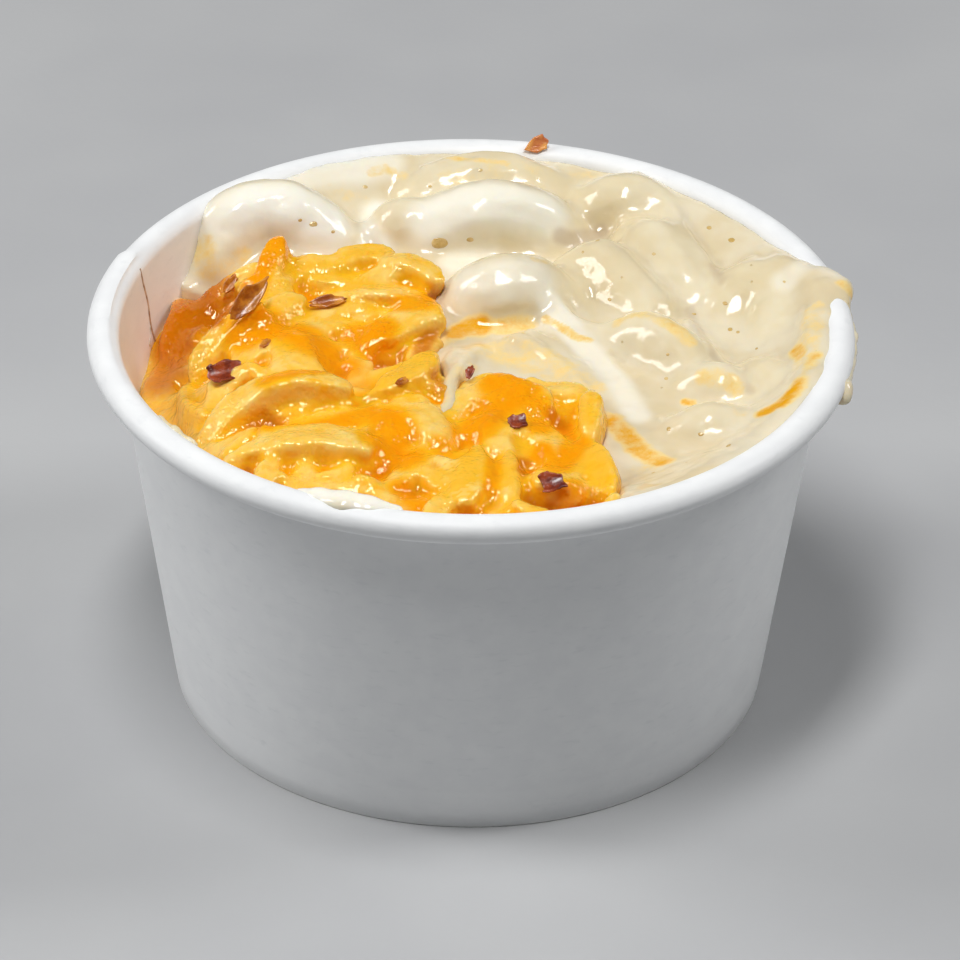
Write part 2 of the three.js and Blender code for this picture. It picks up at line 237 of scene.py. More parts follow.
def slab(name, cells, left_out, level, depth):
    """A grid cut to the tub and to its own side, set to its level and pulled down."""
    bpy.ops.object.select_all(action="DESELECT")
    bpy.ops.mesh.primitive_grid_add(x_subdivisions=cells, y_subdivisions=cells,
                                    size=SLAB_WIDTH * MM, location=(0, 0, 0))
    piece = bpy.context.object
    piece.name = name
    edit(piece)
    bpy.ops.mesh.select_all(action="DESELECT")
    done()
    for face in piece.data.polygons:
        x, y = face.center.x / MM, face.center.y / MM
        face.select = math.hypot(x, y) > SLAB_RADIUS or left_out(x, y)
    edit_selected(piece, "FACE")
    bpy.ops.mesh.delete(type="FACE")
    done()
    for vertex in piece.data.vertices:
        vertex.co.z = level(vertex.co.x / MM, vertex.co.y / MM) * MM
    edit(piece)
    bpy.ops.mesh.extrude_region_move(TRANSFORM_OT_translate={"value": (0, 0, -depth * MM)})
    bpy.ops.mesh.select_all(action="SELECT")
    bpy.ops.mesh.normals_make_consistent(inside=False)
    done()
    return piece


# ---- the paper tub --------------------------------------------------------------------------

PAPER = 0.5
FIT = 0.3
TUB_HEIGHT = 51.1
RIM_RADIUS = 48.0
BASE_RADIUS = 38.1
WALL_SLOPE = 0.131
WALL_TOP = 48
WALL_ROWS = 10
RIM_HALF_HEIGHT = 1.7
RIM_TURN = 300
RIM_STEPS = 30
TUB_SIDES = 192
HEM_HEIGHT = 5.0
FLOOR_HEIGHT = 6.2
SKIRT_FOOT = 0.8
SHARP_FROM = 40


def outer_radius(z):
    return BASE_RADIUS + WALL_SLOPE * z


def inner_radius(z):
    return outer_radius(z) - PAPER


RIM_Z = TUB_HEIGHT - RIM_HALF_HEIGHT
RIM_HALF_WIDTH = (RIM_RADIUS - inner_radius(RIM_Z)) / 2
RIM_CENTRE = RIM_RADIUS - RIM_HALF_WIDTH


def rim_point(degrees, outward):
    angle = math.radians(degrees)
    return (RIM_CENTRE + (RIM_HALF_WIDTH + outward) * math.cos(angle),
            RIM_Z + (RIM_HALF_HEIGHT + outward) * math.sin(angle))


def wall_profile():
    turn = [180 - RIM_TURN * step / RIM_STEPS for step in range(RIM_STEPS + 1)]
    roll_inside = [rim_point(degrees, -PAPER) for degrees in turn]
    roll_outside = [rim_point(degrees, 0) for degrees in reversed(turn)]
    channel_outer = inner_radius(PAPER)
    channel_inner = channel_outer - PAPER - 2 * FIT
    rise = WALL_SLOPE * HEM_HEIGHT
    rows = [WALL_TOP * i / WALL_ROWS for i in range(1, WALL_ROWS)]
    return [
        (BASE_RADIUS - 0.15, 0), (BASE_RADIUS, 0.15), (outer_radius(2.5), 2.5),
        *[(outer_radius(z), z) for z in rows],
        *roll_inside, *roll_outside,
        *[(inner_radius(z), z) for z in reversed(rows)],
        (channel_outer, PAPER), (channel_inner, PAPER),
        (channel_inner + rise, HEM_HEIGHT), (channel_inner + rise - PAPER, HEM_HEIGHT),
        (channel_inner - PAPER, 0),
    ]


def make_paper_wall():
    return step_bead(spun("tub_wall", wall_profile(), TUB_SIDES))


SEAM_BEARING = 163.3
BEAD_STEP = 0.4
BEAD_STEP_FADE = 45
BEAD_STEP_LEAD = 3.5
SEAM_TOP = 50.2
SEAM_ROW = 1.75
SEAM_ROWS = 8
SEAM_LEAN = math.radians(-0.6)
SEAM_RADIUS = 0.14


def make_seam():
    """A thin brown line down the inside along the cut edge of the wall's lap: sauce seeped into the edge,
    and painted shadow of the lap's step.
    """
    points = []
    for row in range(SEAM_ROWS + 1):
        z = SEAM_TOP - SEAM_ROW * row
        turn = math.radians(SEAM_BEARING) + SEAM_LEAN * row / SEAM_ROWS + 0.004 * math.sin(row * 1.7)
        out = inner_limit(z) - 0.02
        points.append((out * math.cos(turn), out * math.sin(turn), z))
    return tube("seam_stain_and_shadow", points, SEAM_RADIUS)


def step_bead(wall):
    """Thickens the bead where the lap is rolled into it, from the seam round to the front."""
    for vertex in wall.data.vertices:
        x, y, z = vertex.co / MM
        past = (math.degrees(math.atan2(y, x)) - SEAM_BEARING + BEAD_STEP_LEAD) % 360
        if z > RIM_Z - RIM_HALF_HEIGHT and past < BEAD_STEP_FADE:
            share = BEAD_STEP * (1 - past / BEAD_STEP_FADE)
            out = Vector((math.hypot(x, y) - RIM_CENTRE, z - RIM_Z))
            if out.length > RIM_HALF_HEIGHT * 0.8 and out.x > -RIM_HALF_WIDTH * 0.5:
                out = out.normalized() * share
                ring = Vector((x, y)).normalized() * out.x
                vertex.co += Vector((ring.x, ring.y, out.y)) * MM
    return wall


def make_base():
    low = FLOOR_HEIGHT - PAPER
    low_out, foot_out, top_out = [inner_radius(z) - FIT for z in (low, SKIRT_FOOT, FLOOR_HEIGHT)]
    return spun("tub_base", [
        (0, low), (low_out - PAPER, low), (foot_out - PAPER, SKIRT_FOOT),
        (foot_out, SKIRT_FOOT), (top_out, FLOOR_HEIGHT), (0, FLOOR_HEIGHT),
    ], TUB_SIDES // 2)


# ---- finishes -------------------------------------------------------------------------------

class Finish:
    """A node material, with short calls for the nodes that the recipes below use."""

    def __init__(self, name):
        self.material = bpy.data.materials.new(name)
        self.material.use_nodes = True
        self.nodes = self.material.node_tree.nodes
        self.links = self.material.node_tree.links
        self.shader = self.nodes["Principled BSDF"]
        self.place = self.nodes.new("ShaderNodeTexCoord").outputs["Object"]

    def feed(self, socket, value):
        """Links a node's output into the socket, or sets the socket to a plain value."""
        if isinstance(value, bpy.types.NodeSocket):
            self.links.new(value, socket)
        else:
            socket.default_value = value

    def node(self, kind, **inputs):
        """Adds a node and fills its inputs."""
        node = self.nodes.new("ShaderNode" + kind)
        for name, value in inputs.items():
            self.feed(node.inputs[name.replace("_", " ")], value)
        return node

    def set(self, **values):
        for name, value in values.items():
            self.feed(self.shader.inputs[name.replace("_", " ")], value)

    def height(self):
        return self.node("SeparateXYZ", Vector=self.place).outputs["Z"]

    def stretched(self, scale):
        return self.node("Mapping", Scale=scale, Vector=self.place).outputs["Vector"]

    def noise(self, scale, detail=3.0, roughness=0.55, where=None):
        return self.node("TexNoise", Scale=scale, Detail=detail, Roughness=roughness,
                         Vector=where or self.place).outputs["Fac"]

    def cells(self, scale):
        return self.node("TexVoronoi", Scale=scale, Vector=self.place).outputs

    def spots(self, scale, share, size):
        """Small round spots, in this share of the cells."""
        cells = self.cells(scale)
        red = self.node("SeparateColor", Color=cells["Color"]).outputs["Red"]
        chosen = self.ramp(red, 1 - share, 1.02 - share)
        return self.times(chosen, self.ramp(cells["Distance"], size * 0.6, size, 1.0, 0.0))

    def painted(self, name):
        node = self.node("Attribute")
        node.attribute_name = name
        return node.outputs["Fac"]

    def strip_place(self, stretch):
        """Where a point is on its own strip, in millimetres, drawn out along the strip."""
        return self.node("CombineXYZ", X=self.times(self.painted("along"), stretch),
                         Y=self.painted("across"),
                         Z=self.times(self.painted("tone"), 40.0)).outputs["Vector"]

    def ramp(self, value, low, high, start=0.0, end=1.0):
        node = self.node("MapRange", Value=value, From_Min=low, From_Max=high, To_Min=start, To_Max=end)
        node.interpolation_type = "SMOOTHSTEP"
        return node.outputs["Result"]

    def maths(self, kind, *values):
        node = self.node("Math")
        node.operation = kind
        for socket, value in zip(node.inputs, values):
            self.feed(socket, value)
        return node.outputs["Value"]

    def times(self, first, second):
        return self.maths("MULTIPLY", first, second)

    def plus(self, first, second):
        return self.maths("ADD", first, second)

    def less(self, first, second):
        return self.maths("SUBTRACT", first, second)

    def blend(self, share, first, second):
        """Mixes two colours, each a node's output or three numbers."""
        node = self.nodes.new("ShaderNodeMix")
        node.data_type = "RGBA"
        self.feed(node.inputs["Factor"], share)
        for socket, colour in zip((node.inputs[6], node.inputs[7]), (first, second)):
            self.feed(socket, (*colour, 1) if isinstance(colour, tuple) else colour)
        return node.outputs[2]

    def bump(self, height, depth, strength, before=None):
        node = self.node("Bump", Strength=strength, Distance=depth, Height=height)
        if before is not None:
            self.links.new(before, node.inputs["Normal"])
        return node.outputs["Normal"]


def board_finish():
    """White coated board: faint mottling, long fibres round the wall and a satin face."""
    paper = Finish("white_board")
    fibres = paper.noise(420, detail=4, where=paper.stretched((1, 1, 3.2)))
    clouds = paper.noise(260, detail=4)
    pulp = paper.noise(1900, detail=2)
    colour = paper.blend(paper.ramp(clouds, 0.35, 0.68), (0.86, 0.87, 0.875), (0.89, 0.90, 0.90))
    colour = paper.blend(paper.ramp(fibres, 0.56, 0.75, 0.0, 0.35), colour, (0.74, 0.76, 0.77))
    height = paper.height()
    colour = paper.blend(paper.ramp(height, 0.0055, 0.0063, 0.35, 0.0), colour, (0.92, 0.93, 0.93))
    colour = paper.blend(paper.ramp(height, 0.0003, 0.0006, 0.8, 0.0), colour, (0.95, 0.95, 0.94))
    relief = paper.bump(fibres, 0.00006, 0.5, paper.bump(pulp, 0.00002, 0.4))
    rough = paper.ramp(clouds, 0.3, 0.7, 0.42, 0.56)
    paper.set(Base_Color=colour, Roughness=rough, Normal=relief)
    return paper.material


def sauce_finish():
    """Ivory cheese sauce: creamier where it is thin over a noodle, amber where oil lies on it, whiter on
    the noodle lobes partly as painted light, and with painted shade in the creases.
    """
    sauce = Finish("cheese_sauce")
    clouds = sauce.noise(110, detail=3)
    grain = sauce.noise(900, detail=3)
    colour = sauce.blend(sauce.ramp(clouds, 0.36, 0.64), (0.74, 0.62, 0.40), (0.80, 0.71, 0.52))
    colour = sauce.blend(sauce.times(sauce.painted("noodle"), 0.35), colour, (0.86, 0.76, 0.50))
    # Whiter sauce, partly real and partly painted light: the lit tops and fronts of the noodle lobes drawn
    # brighter.
    colour = sauce.blend(sauce.painted("white_and_lit"), colour, (0.99, 0.955, 0.84))
    flecks = sauce.spots(420, 0.10, 0.085)
    colour = sauce.blend(sauce.times(flecks, 0.5), colour, (0.62, 0.42, 0.13))
    broken = sauce.times(sauce.less(sauce.noise(420, detail=5, roughness=0.65), 0.55), 1.4)
    oily = sauce.plus(sauce.painted("cheddar"), broken)
    oily = sauce.times(oily, sauce.ramp(sauce.painted("cheddar"), 0.0, 0.25))
    colour = sauce.blend(sauce.ramp(oily, 0.0, 0.6), colour, (0.90, 0.68, 0.29))
    colour = sauce.blend(sauce.ramp(oily, 0.45, 1.05), colour, (0.86, 0.41, 0.006))
    # Painted shade in the creases beside the noodles, and one real streak of red pepper under the sauce at
    # the back.
    colour = sauce.blend(sauce.painted("dark"), colour, (0.30, 0.16, 0.11))
    relief = sauce.bump(grain, 0.00008, 0.35)
    relief = sauce.bump(sauce.times(flecks, -1.0), 0.00012, 0.8, relief)
    sauce.set(Base_Color=colour, Normal=relief, Roughness=sauce.ramp(clouds, 0.3, 0.7, 0.12, 0.2))
    sauce.set(Subsurface_Weight=0.3, Subsurface_Radius=(1.0, 0.78, 0.45), Subsurface_Scale=0.0013)
    sauce.set(Coat_Weight=0.2, Coat_Roughness=0.06, IOR=1.42)
    return sauce.material


CREST = (1.0, 0.79, 0.31)
AMBER = (0.98, 0.50, 0.012)
MELTED = (0.96, 0.34, 0.0)
# The brown of painted shade in the heap's recesses.
RECESS_SHADE_BROWN = (0.60, 0.15, 0.0)
WET_TINT = (1, 0.93, 0.62, 1)


def cheddar_finish():
    """Pale cooked cheddar where it stands out of the melted cheese, amber to deep orange under it, and a
    brown of painted shade low in its recesses.
    """
    cheese = Finish("cheddar")
    grain = cheese.noise(1400, detail=0)
    clouds = cheese.noise(300, detail=2)
    lumps = cheese.noise(520, detail=0)
    bubbles = cheese.ramp(cheese.cells(1700)["Distance"], 0.0, 0.62, 1.0, 0.0)
    bubbles = cheese.times(bubbles, cheese.ramp(cheese.noise(190), 0.40, 0.58, 0.15, 1.0))
    fibres = cheese.noise(0.6, detail=1, where=cheese.strip_place(0.35))
    rise = cheese.plus(cheese.painted("rise"), cheese.less(clouds, 0.5))
    pale = cheese.plus(cheese.times(cheese.painted("tone"), 0.9), fibres)
    pale = cheese.ramp(pale, 0.5, 1.15, 0.25, 1.0)
    colour = cheese.blend(cheese.ramp(rise, -1.2, 0.2), MELTED, AMBER)
    colour = cheese.blend(cheese.times(cheese.ramp(rise, 0.3, 1.8), pale), colour, CREST)
    glaze = cheese.times(cheese.painted("glaze"), cheese.ramp(clouds, 0.2, 0.6, 0.6, 0.95))
    colour = cheese.blend(glaze, colour, MELTED)
    # Painted shade: brown low in the heap's recesses and over the shaded slab at the left wall.
    colour = cheese.blend(cheese.painted("deep"), colour, RECESS_SHADE_BROWN)
    relief = cheese.bump(lumps, 0.0002, 0.8)
    relief = cheese.bump(grain, 0.00013, 0.8, relief)
    relief = cheese.bump(bubbles, 0.00009, 0.8, relief)
    wet = cheese.plus(cheese.ramp(grain, 0.3, 0.7, 0.05, 0.12), cheese.ramp(rise, 0.3, 1.4, 0.0, 0.06))
    cheese.set(Base_Color=colour, Normal=relief, Roughness=wet)
    cheese.set(Subsurface_Weight=0.45, Subsurface_Radius=(1.0, 0.5, 0.1), Subsurface_Scale=0.0018)
    cheese.set(Coat_Weight=0.12, Coat_Roughness=0.03, Specular_IOR_Level=0.6, Specular_Tint=WET_TINT)
    return cheese.material


def toasted_finish(name, dark, light):
    """A small glossy scrap or drop, mottled from dark to light."""
    scrap = Finish(name)
    grain = scrap.noise(1100, detail=4, roughness=0.65)
    colour = scrap.blend(scrap.ramp(scrap.noise(520), 0.35, 0.65), dark, light)
    scrap.set(Base_Color=colour, Roughness=scrap.ramp(grain, 0.3, 0.7, 0.12, 0.3))
    scrap.set(Normal=scrap.bump(grain, 0.0003, 0.7), Coat_Weight=0.5, Coat_Roughness=0.08)
    return scrap.material


def floor_finish():
    """Pale, fine-grained studio board."""
    board = Finish("pale_floor")
    grain = board.noise(600, detail=3)
    colour = board.blend(board.ramp(board.noise(14), 0.3, 0.7), (0.44, 0.445, 0.455), (0.48, 0.485, 0.49))
    board.set(Base_Color=colour, Roughness=0.62, Normal=board.bump(grain, 0.00008, 0.4))
    return board.material


def seam_finish():
    edge = Finish("seam_stain_and_shadow")
    # The brown stands for sauce seeped into the lap's edge and for painted shadow of its step.
    brown = edge.blend(edge.ramp(edge.noise(900), 0.35, 0.65), (0.36, 0.22, 0.14), (0.62, 0.47, 0.36))
    edge.set(Base_Color=brown, Roughness=0.6)
    return edge.material


# ---- macaroni under sauce -------------------------------------------------------------------

SAUCE_LEVEL = 45.4
SAUCE_CLIMB = 4.1
CLIMB_START = 33.0
SAUCE_RUN = 6.0
BRIM_RISE = 1.2
POOL_CELLS = 96
POOL_DEPTH = 7
SAUCE_VOXEL = 0.48
FINE_SAUCE_VOXEL = 0.4

# The line between shreds and sauce seen from above, from behind the left wall to before the front.
DIVIDE = [
    (-55, 30), (-37, 23.5), (-30, 20.5), (-24, 22), (-16, 20.5), (-8, 20.5), (-4.6, 15), (-4.6, 7),
    (-3.4, 0), (0.5, -4), (6, -6.5), (11, -8.5), (15, -11.5), (17.6, -15), (18.8, -23), (20, -31),
    (21, -38), (24, -58),
]

# Each noodle: the points along its middle from end to end, and its radius with the sauce on it.
NOODLES = [
    ([(-33, 28.5, 45.5), (-31.8, 28.2, 47.3), (-28.4, 30, 48.5), (-24, 30.2, 48.3), (-19.8, 29, 45.8),
      (-18, 28, 43.5)], 4.5),
    ([(-32.2, 26.4, 46.6), (-33.4, 24.6, 43.6), (-34, 23.4, 40)], 3.4),
    ([(-9.6, 30.6, 46.4), (-8.2, 30.2, 46.6), (-5.7, 29.6, 45)], 4.1),
    ([(-6.3, 29.6, 44.5), (-2.4, 30.5, 47.2), (3.2, 30.6, 48.5), (8, 30.9, 47), (11.1, 31, 43.5)], 4.7),
    ([(0, 14.5, 43.5), (3.5, 13.1, 46.9), (8, 15.1, 45), (10, 14.5, 43.5)], 5.2),
    ([(13.6, 20.8, 44.5), (16.2, 20.7, 46.2), (19.2, 16.8, 45.8), (22.6, 12, 44)], 4),
    ([(21.8, 27.4, 45.4), (23.5, 25.2, 46.6), (25.8, 21.8, 45.9), (29, 16.4, 43.6)], 4.2),
    ([(15.6, 36.2, 45.8), (19.6, 35.6, 47.9), (23, 34.9, 47.2), (26, 31.6, 45.6)], 4),
    ([(33.4, 14, 43.8), (35.5, 15.6, 45.6), (38.4, 14, 45.6), (39.4, 6, 44)], 4.5),
    ([(36, -4, 44.6), (38, -6.6, 45.6), (39.4, -10, 45.2)], 3.2),
    ([(19.4, 4.8, 44.2), (21.9, 4, 45.9), (25.2, 0.7, 45.8), (28.4, -3.4, 44.2)], 3.7),
    ([(27.6, -6.4, 44.2), (30.7, -7.2, 45.6), (33.6, -8.6, 44.6)], 3.3),
    ([(26.4, -17, 43.8), (29.4, -17, 45.4), (33.2, -16.2, 44.2)], 3.6),
    ([(-7.5, 38.6, 45.8), (-3.2, 39.6, 47.6), (2.4, 40.4, 48.1), (7.4, 40, 47.6),
      (10.8, 38.6, 46.2)], 3.6),
]

# Thin folds where the sauce's skin stretches off a noodle: points and radius.
SKIN_FOLDS = [
    ([(21.4, 38.6, 50.4), (23.4, 36, 50.2), (25.8, 31.6, 49.5), (27, 27.4, 49)], 0.75),
    ([(26.8, 26.6, 49.2), (29, 22.4, 48.6), (30.6, 18.4, 47.8), (31.8, 13.8, 46.8)], 0.7),
    ([(31.9, 14.6, 46.8), (34, 17.2, 48.6), (36.6, 18.4, 49.2), (39.1, 17, 49.4),
      (41.6, 15.2, 49.6)], 0.55),
    ([(37, 16.6, 49.6), (39.5, 15.4, 49.6), (41.8, 13.6, 49.6)], 0.4),
    ([(5.4, 3.4, 46), (7.6, 1.8, 46.1), (9.6, -0.6, 45.9), (12.4, -4.4, 45.7), (14.2, -8.4, 45.5),
      (16.8, -13.4, 45.2)], 0.7),
    ([(7.4, 5.2, 46.1), (10.4, 2.6, 45.9), (12.6, -0.8, 45.7), (15.4, -5.4, 45.5),
      (17.6, -11, 45.3)], 0.55),
    ([(9.8, 8.2, 46.4), (12.6, 4.9, 46), (15.8, 1.2, 45.7), (18.4, -4.2, 45.4), (19.6, -9, 45.2)], 0.6),
    ([(9.8, 12, 47.8), (12, 8.6, 46.6), (16.2, 5.4, 45.9)], 0.6),
    ([(27.4, 8, 46.2), (29, 3.6, 46.4), (31.4, -2.4, 46.6), (34.8, -8.8, 46.4)], 0.5),
    ([(0.8, 1.3, 45.4), (-0.9, -2.4, 45.9), (-1.5, -5.8, 46.8), (-2.6, -9.6, 46.7), (-2.4, -13.2, 46.6),
      (-3.7, -17, 46.4), (-4, -19.8, 45.7)], 1),
    ([(-1.8, 0.8, 45.6), (-3, -3, 46.2), (-2.7, -7.6, 46.6)], 0.75),
    ([(-6.4, 39.6, 50.6), (-1.5, 42, 51.2), (4.2, 42.2, 51.2), (8.7, 40, 50.4)], 0.5),
]


def smooth_step(low, high, value):
    share = min(max((value - low) / (high - low), 0.0), 1.0)
    return share * share * (3 - 2 * share)


def sauce_level(x, y):
    out = math.hypot(x, y)
    climb = SAUCE_CLIMB * smooth_step(CLIMB_START, inner_radius(RIM_Z), out)
    run = SAUCE_RUN * smooth_step(26, 35, -x) * smooth_step(-30, -22, -y)
    brim = BRIM_RISE * smooth_step(39, 44, out) * smooth_step(-34, -16, x) * smooth_step(-26, -12, y)
    brim *= 1 - 0.8 * smooth_step(16, 23, y) * smooth_step(-20, 10, x)
    return SAUCE_LEVEL + climb + brim - run


SHRED_OUTLINE = [*DIVIDE, (-60, -60), (-70, 30)]


def over_shreds(x, y):
    inside = False
    for (ax, ay), (bx, by) in zip(SHRED_OUTLINE, SHRED_OUTLINE[1:] + SHRED_OUTLINE[:1]):
        if (ay > y) != (by > y) and x < ax + (bx - ax) * (y - ay) / (by - ay):
            inside = not inside
    return inside


def tube(name, points, radius):
    """A round bar along points in millimetres, with flat capped ends."""
    select_only(traced(name, [Vector(point) * MM for point in points]))
    bpy.ops.object.convert(target="CURVE")
    curve = bpy.context.object.data
    spline = curve.splines[0]
    spline.type = "BEZIER"
    for point in spline.bezier_points:
        point.handle_left_type = "AUTO"
        point.handle_right_type = "AUTO"
    curve.resolution_u = 6
    curve.bevel_depth = radius * MM
    curve.bevel_resolution = 4
    curve.use_fill_caps = True
    bpy.ops.object.convert(target="MESH")
    return bpy.context.object


HIGHEST_EDGE = 0.76


def inner_limit(z):
    """How far out the tub's inner face is at this height, round the bead too."""
    if z <= RIM_Z:
        return inner_radius(z)
    rise = min((z - RIM_Z) / RIM_HALF_HEIGHT, HIGHEST_EDGE)
    return RIM_CENTRE - RIM_HALF_WIDTH * math.sqrt(1 - rise * rise)


# Between these bearings (degrees) sauce may lie over the bead.
SPILL_BEARINGS = [(-19.5, 24.0), (-160.0, -96.0)]
SPILL_REACH = 42.8
WALL_LAP = 0.1


def kept_in_tub(piece):
    """Draws what is past the wall back to it; the spills stay lying over the bead."""
    for vertex in piece.data.vertices:
        x, y, z = vertex.co / MM
        radius = math.hypot(x, y)
        limit = inner_limit(z) + WALL_LAP
        if radius < SPILL_REACH and radius < limit:
            continue
        bearing = math.degrees(math.atan2(y, x))
        on_bead = any(first < bearing < last for first, last in SPILL_BEARINGS)
        if radius > limit and not (on_bead and z > RIM_Z - RIM_HALF_HEIGHT):
            vertex.co.x *= limit / radius
            vertex.co.y *= limit / radius
    return piece


def sauce_pool():
    """The sauce between the noodles."""
    return slab("sauce_pool", POOL_CELLS, lambda x, y: over_shreds(x + 2.0, y + 2.0),
                sauce_level, POOL_DEPTH)


def make_sauce():
    pieces = [sauce_pool()]
    for points, radius in [*NOODLES, *SKIN_FOLDS]:
        pieces.append(rounded(points, radius))
    pieces.extend(spill_balls())
    sauce = joined("macaroni_in_sauce", pieces)
    moulded(sauce, SAUCE_VOXEL)
    swollen(sauce, 0.9)
    moulded(sauce, SAUCE_VOXEL)
    swollen(sauce, -0.8)
    smoothed(sauce, 5)
    moulded(sauce, FINE_SAUCE_VOXEL)
    roughened(sauce, "soft_swell", 6.0, 0.8)
    roughened(sauce, "small_swell", 1.8, 0.16)
    smoothed(sauce, 4)
    return kept_in_tub(sauce)


def rounded(points, radius):
    """A tube with a ball at each end."""
    noodle = tube("noodle", points, radius)
    ends = [settle(ball(radius * MM, Vector(end) * MM)) for end in (points[0], points[-1])]
    return joined("noodle", [noodle, *ends])


# ---- cheddar shreds -------------------------------------------------------------------------

SHRED_LEVEL = 47.3
RIDGE_RISE = 2.0
RIDGE_Y = 16.0
RIDGE_SPREAD = 6.0
LEFT_SHOULDER = 27.0
LEFT_FALL = 0.78

# Where each large shred lies (x, y), the way it points (degrees), its length and width, how far its
# middle bows aside, how far it stands out of the heap, how steeply it climbs, and its thickness.
BIG_SHREDS = [
    ((-19.8, -24.8), 0, 16.5, 8, 1.4, 1.5, 0, 4.8),
    ((-25.6, -14.4), 20, 20, 6, 3.2, 1.3, 2.5, 4.4),
    ((-15, -17), 8, 13, 5, -1, 0, 0, 3),
    ((-8.2, -8.8), 50, 14, 5.8, -1.2, 1.5, 0, 4.6),
    ((-6, -19), -58, 11, 6.4, 1, 1, 0, 4.4),
    ((-31.6, 3), 32, 11, 5.6, 1.6, 2.2, 3, 4),
    ((-34.6, -6), -80, 15, 4.8, -1.2, 1.4, 1, 4),
    ((-36.8, 16), -98, 14, 7.4, 1, 0.2, 1, 3),
    ((-38, -0.5), -72, 19, 6, -1.2, 0.4, -2, 3),
    ((-25.9, 14.6), 75, 11, 4.6, 0, 0.8, 5.5, 2.8),
    ((-19.3, 15.9), 8, 8.5, 4.4, 0.6, 0.6, 0, 3),
    ((-14.5, 17.8), 20, 9, 5.2, 0.8, 1.2, 0.5, 3.2),
    ((-7.8, 15.4), -25, 8.5, 5, 0.8, 0.9, -1, 3),
    ((-11.3, 9.9), -8, 13, 6.2, 1.2, 0.9, 0, 3.2),
    ((-9, 3.2), 37, 12.5, 6.6, 0.8, 1.3, 1, 3.6),
    ((-21.8, -2.6), -74, 12, 7, -1.2, 0.9, 0, 3.2),
    ((-25.4, 6), 50, 11, 4.8, 1, 0.6, 1, 3),
    ((14.9, -17.4), -92, 10.5, 4, 0, 1.9, -1, 3.8),
    ((15.7, -27.8), -76, 12, 4.8, 0.4, 0.6, -1, 3.2),
    ((0.2, -30.8), -97, 12, 5.2, 0.4, 1, -1, 3.4),
    ((4.9, -30.8), -90, 10, 4.2, -0.4, 0.6, -1, 3),
    ((9.9, -31.6), -20, 8, 6.6, 0.4, 0.6, 0, 3.4),
    ((4.6, -13.6), -28, 13, 8.4, 1.4, 1.4, 0, 4),
    ((11, -11.8), 0, 8, 5.4, 1, 0.7, 0, 3),
    ((-4.4, -29.6), -55, 9, 6, 0.6, 0.4, 0, 3.2),
    ((-15, -32.6), -10, 14, 5.6, 1, -0.6, 0, 3),
    ((9, -22.5), -60, 11, 5.6, 1, 0.4, -1, 3),
    ((3.4, -21.8), -84, 9, 5, -0.6, 0.9, -1, 3.2),
    ((-41, 6.5), -82, 12, 5, 0.4, 0.6, -1, 3.6),
    ((-40.4, -6.5), -64, 12, 5.2, -0.6, 0.4, -1, 3.4),
    ((-36.4, -15), -48, 12, 5, -0.8, -0.2, 0, 3.2),
    ((-40.2, 13), -96, 9, 4.4, 0.4, 0.6, 0, 3.4),
]

SLIMNESS = 0.76
FILL_COUNT = 170
CRUMB_COUNT = 130
FILL_GAP = 2.8
GOLDEN_ANGLE = math.pi * (3 - math.sqrt(5))
WALL_GAP = 3
STRIP_KINDS = 6
STRIP_CUTS = 7
BULK_CELLS = 64
BULK_DEPTH = 5
BULK_UNDER = 2.8
HEAP_VOXEL = 0.42
GLAZE_VOXELS = (0.6, 0.5)
CHEDDAR_VOXEL = 0.40

# What a smaller shred's length, width, bow, stand, climb and thickness are drawn from.
FILL_SPANS = [(8, 13), (3.4, 5.2), (-1.5, 1.5), (-1.2, 0.3), (-1.8, 1.8), (2.4, 3.4)]
CRUMB_SPANS = [(2.5, 6.5), (1.8, 3.2), (-0.5, 0.5), (-0.6, 0.6), (-1.5, 1.5), (1.4, 2.4)]


class Draws:
    """Evenly spread numbers, the same on every run."""

    def __init__(self, seed):
        self.seed = seed

    def draw(self, low, high):
        self.seed = (self.seed * 1664525 + 1013904223) % 4294967296
        return low + (high - low) * self.seed / 4294967296


def shred_top(x, y):
    ridge = RIDGE_RISE * math.exp(-((y - RIDGE_Y) / RIDGE_SPREAD) ** 2)
    return SHRED_LEVEL + ridge - max(0.0, -x - LEFT_SHOULDER) * LEFT_FALL


def torn_strip(number):
    """A strip 2 units long and 2 wide and thick, squared off, tapered and torn at its ends."""
    bpy.ops.object.select_all(action="DESELECT")
    bpy.ops.mesh.primitive_cube_add(size=2, location=(0, 0, 0))
    strip = bpy.context.object
    strip.name = "strip"
    edit(strip)
    bpy.ops.mesh.subdivide(number_cuts=STRIP_CUTS)
    bpy.ops.mesh.select_all(action="DESELECT")
    done()
    draws = Draws(700 + number)
    taper = (draws.draw(0.45, 0.8), draws.draw(0.35, 0.75))
    for side, share in zip((-1, 1), taper):
        for reach, part in ((0.99, share), (0.7, 0.5 + 0.5 * share)):
            for vertex in strip.data.vertices:
                vertex.select = abs(vertex.co.x - side * reach) < 0.06
            edit_selected(strip)
            shift = draws.draw(-0.2, 0.2)
            bpy.ops.transform.resize(value=(1, part, 0.6 + 0.4 * part), center_override=(0, shift, 0))
            done()
    edit(strip)
    bpy.ops.transform.vertex_random(offset=0.09, uniform=0.6, normal=0.4, seed=number)
    done()
    return modifier(strip, "SUBSURF", levels=1, render_levels=1)


def arc_point(ends, share):
    """A smooth path through a start, a middle and an end."""
    start, middle, end = ends
    steer = middle * 2 - (start + end) / 2
    first = start.lerp(steer, share)
    second = steer.lerp(end, share)
    return first.lerp(second, share), (second - first).normalized()


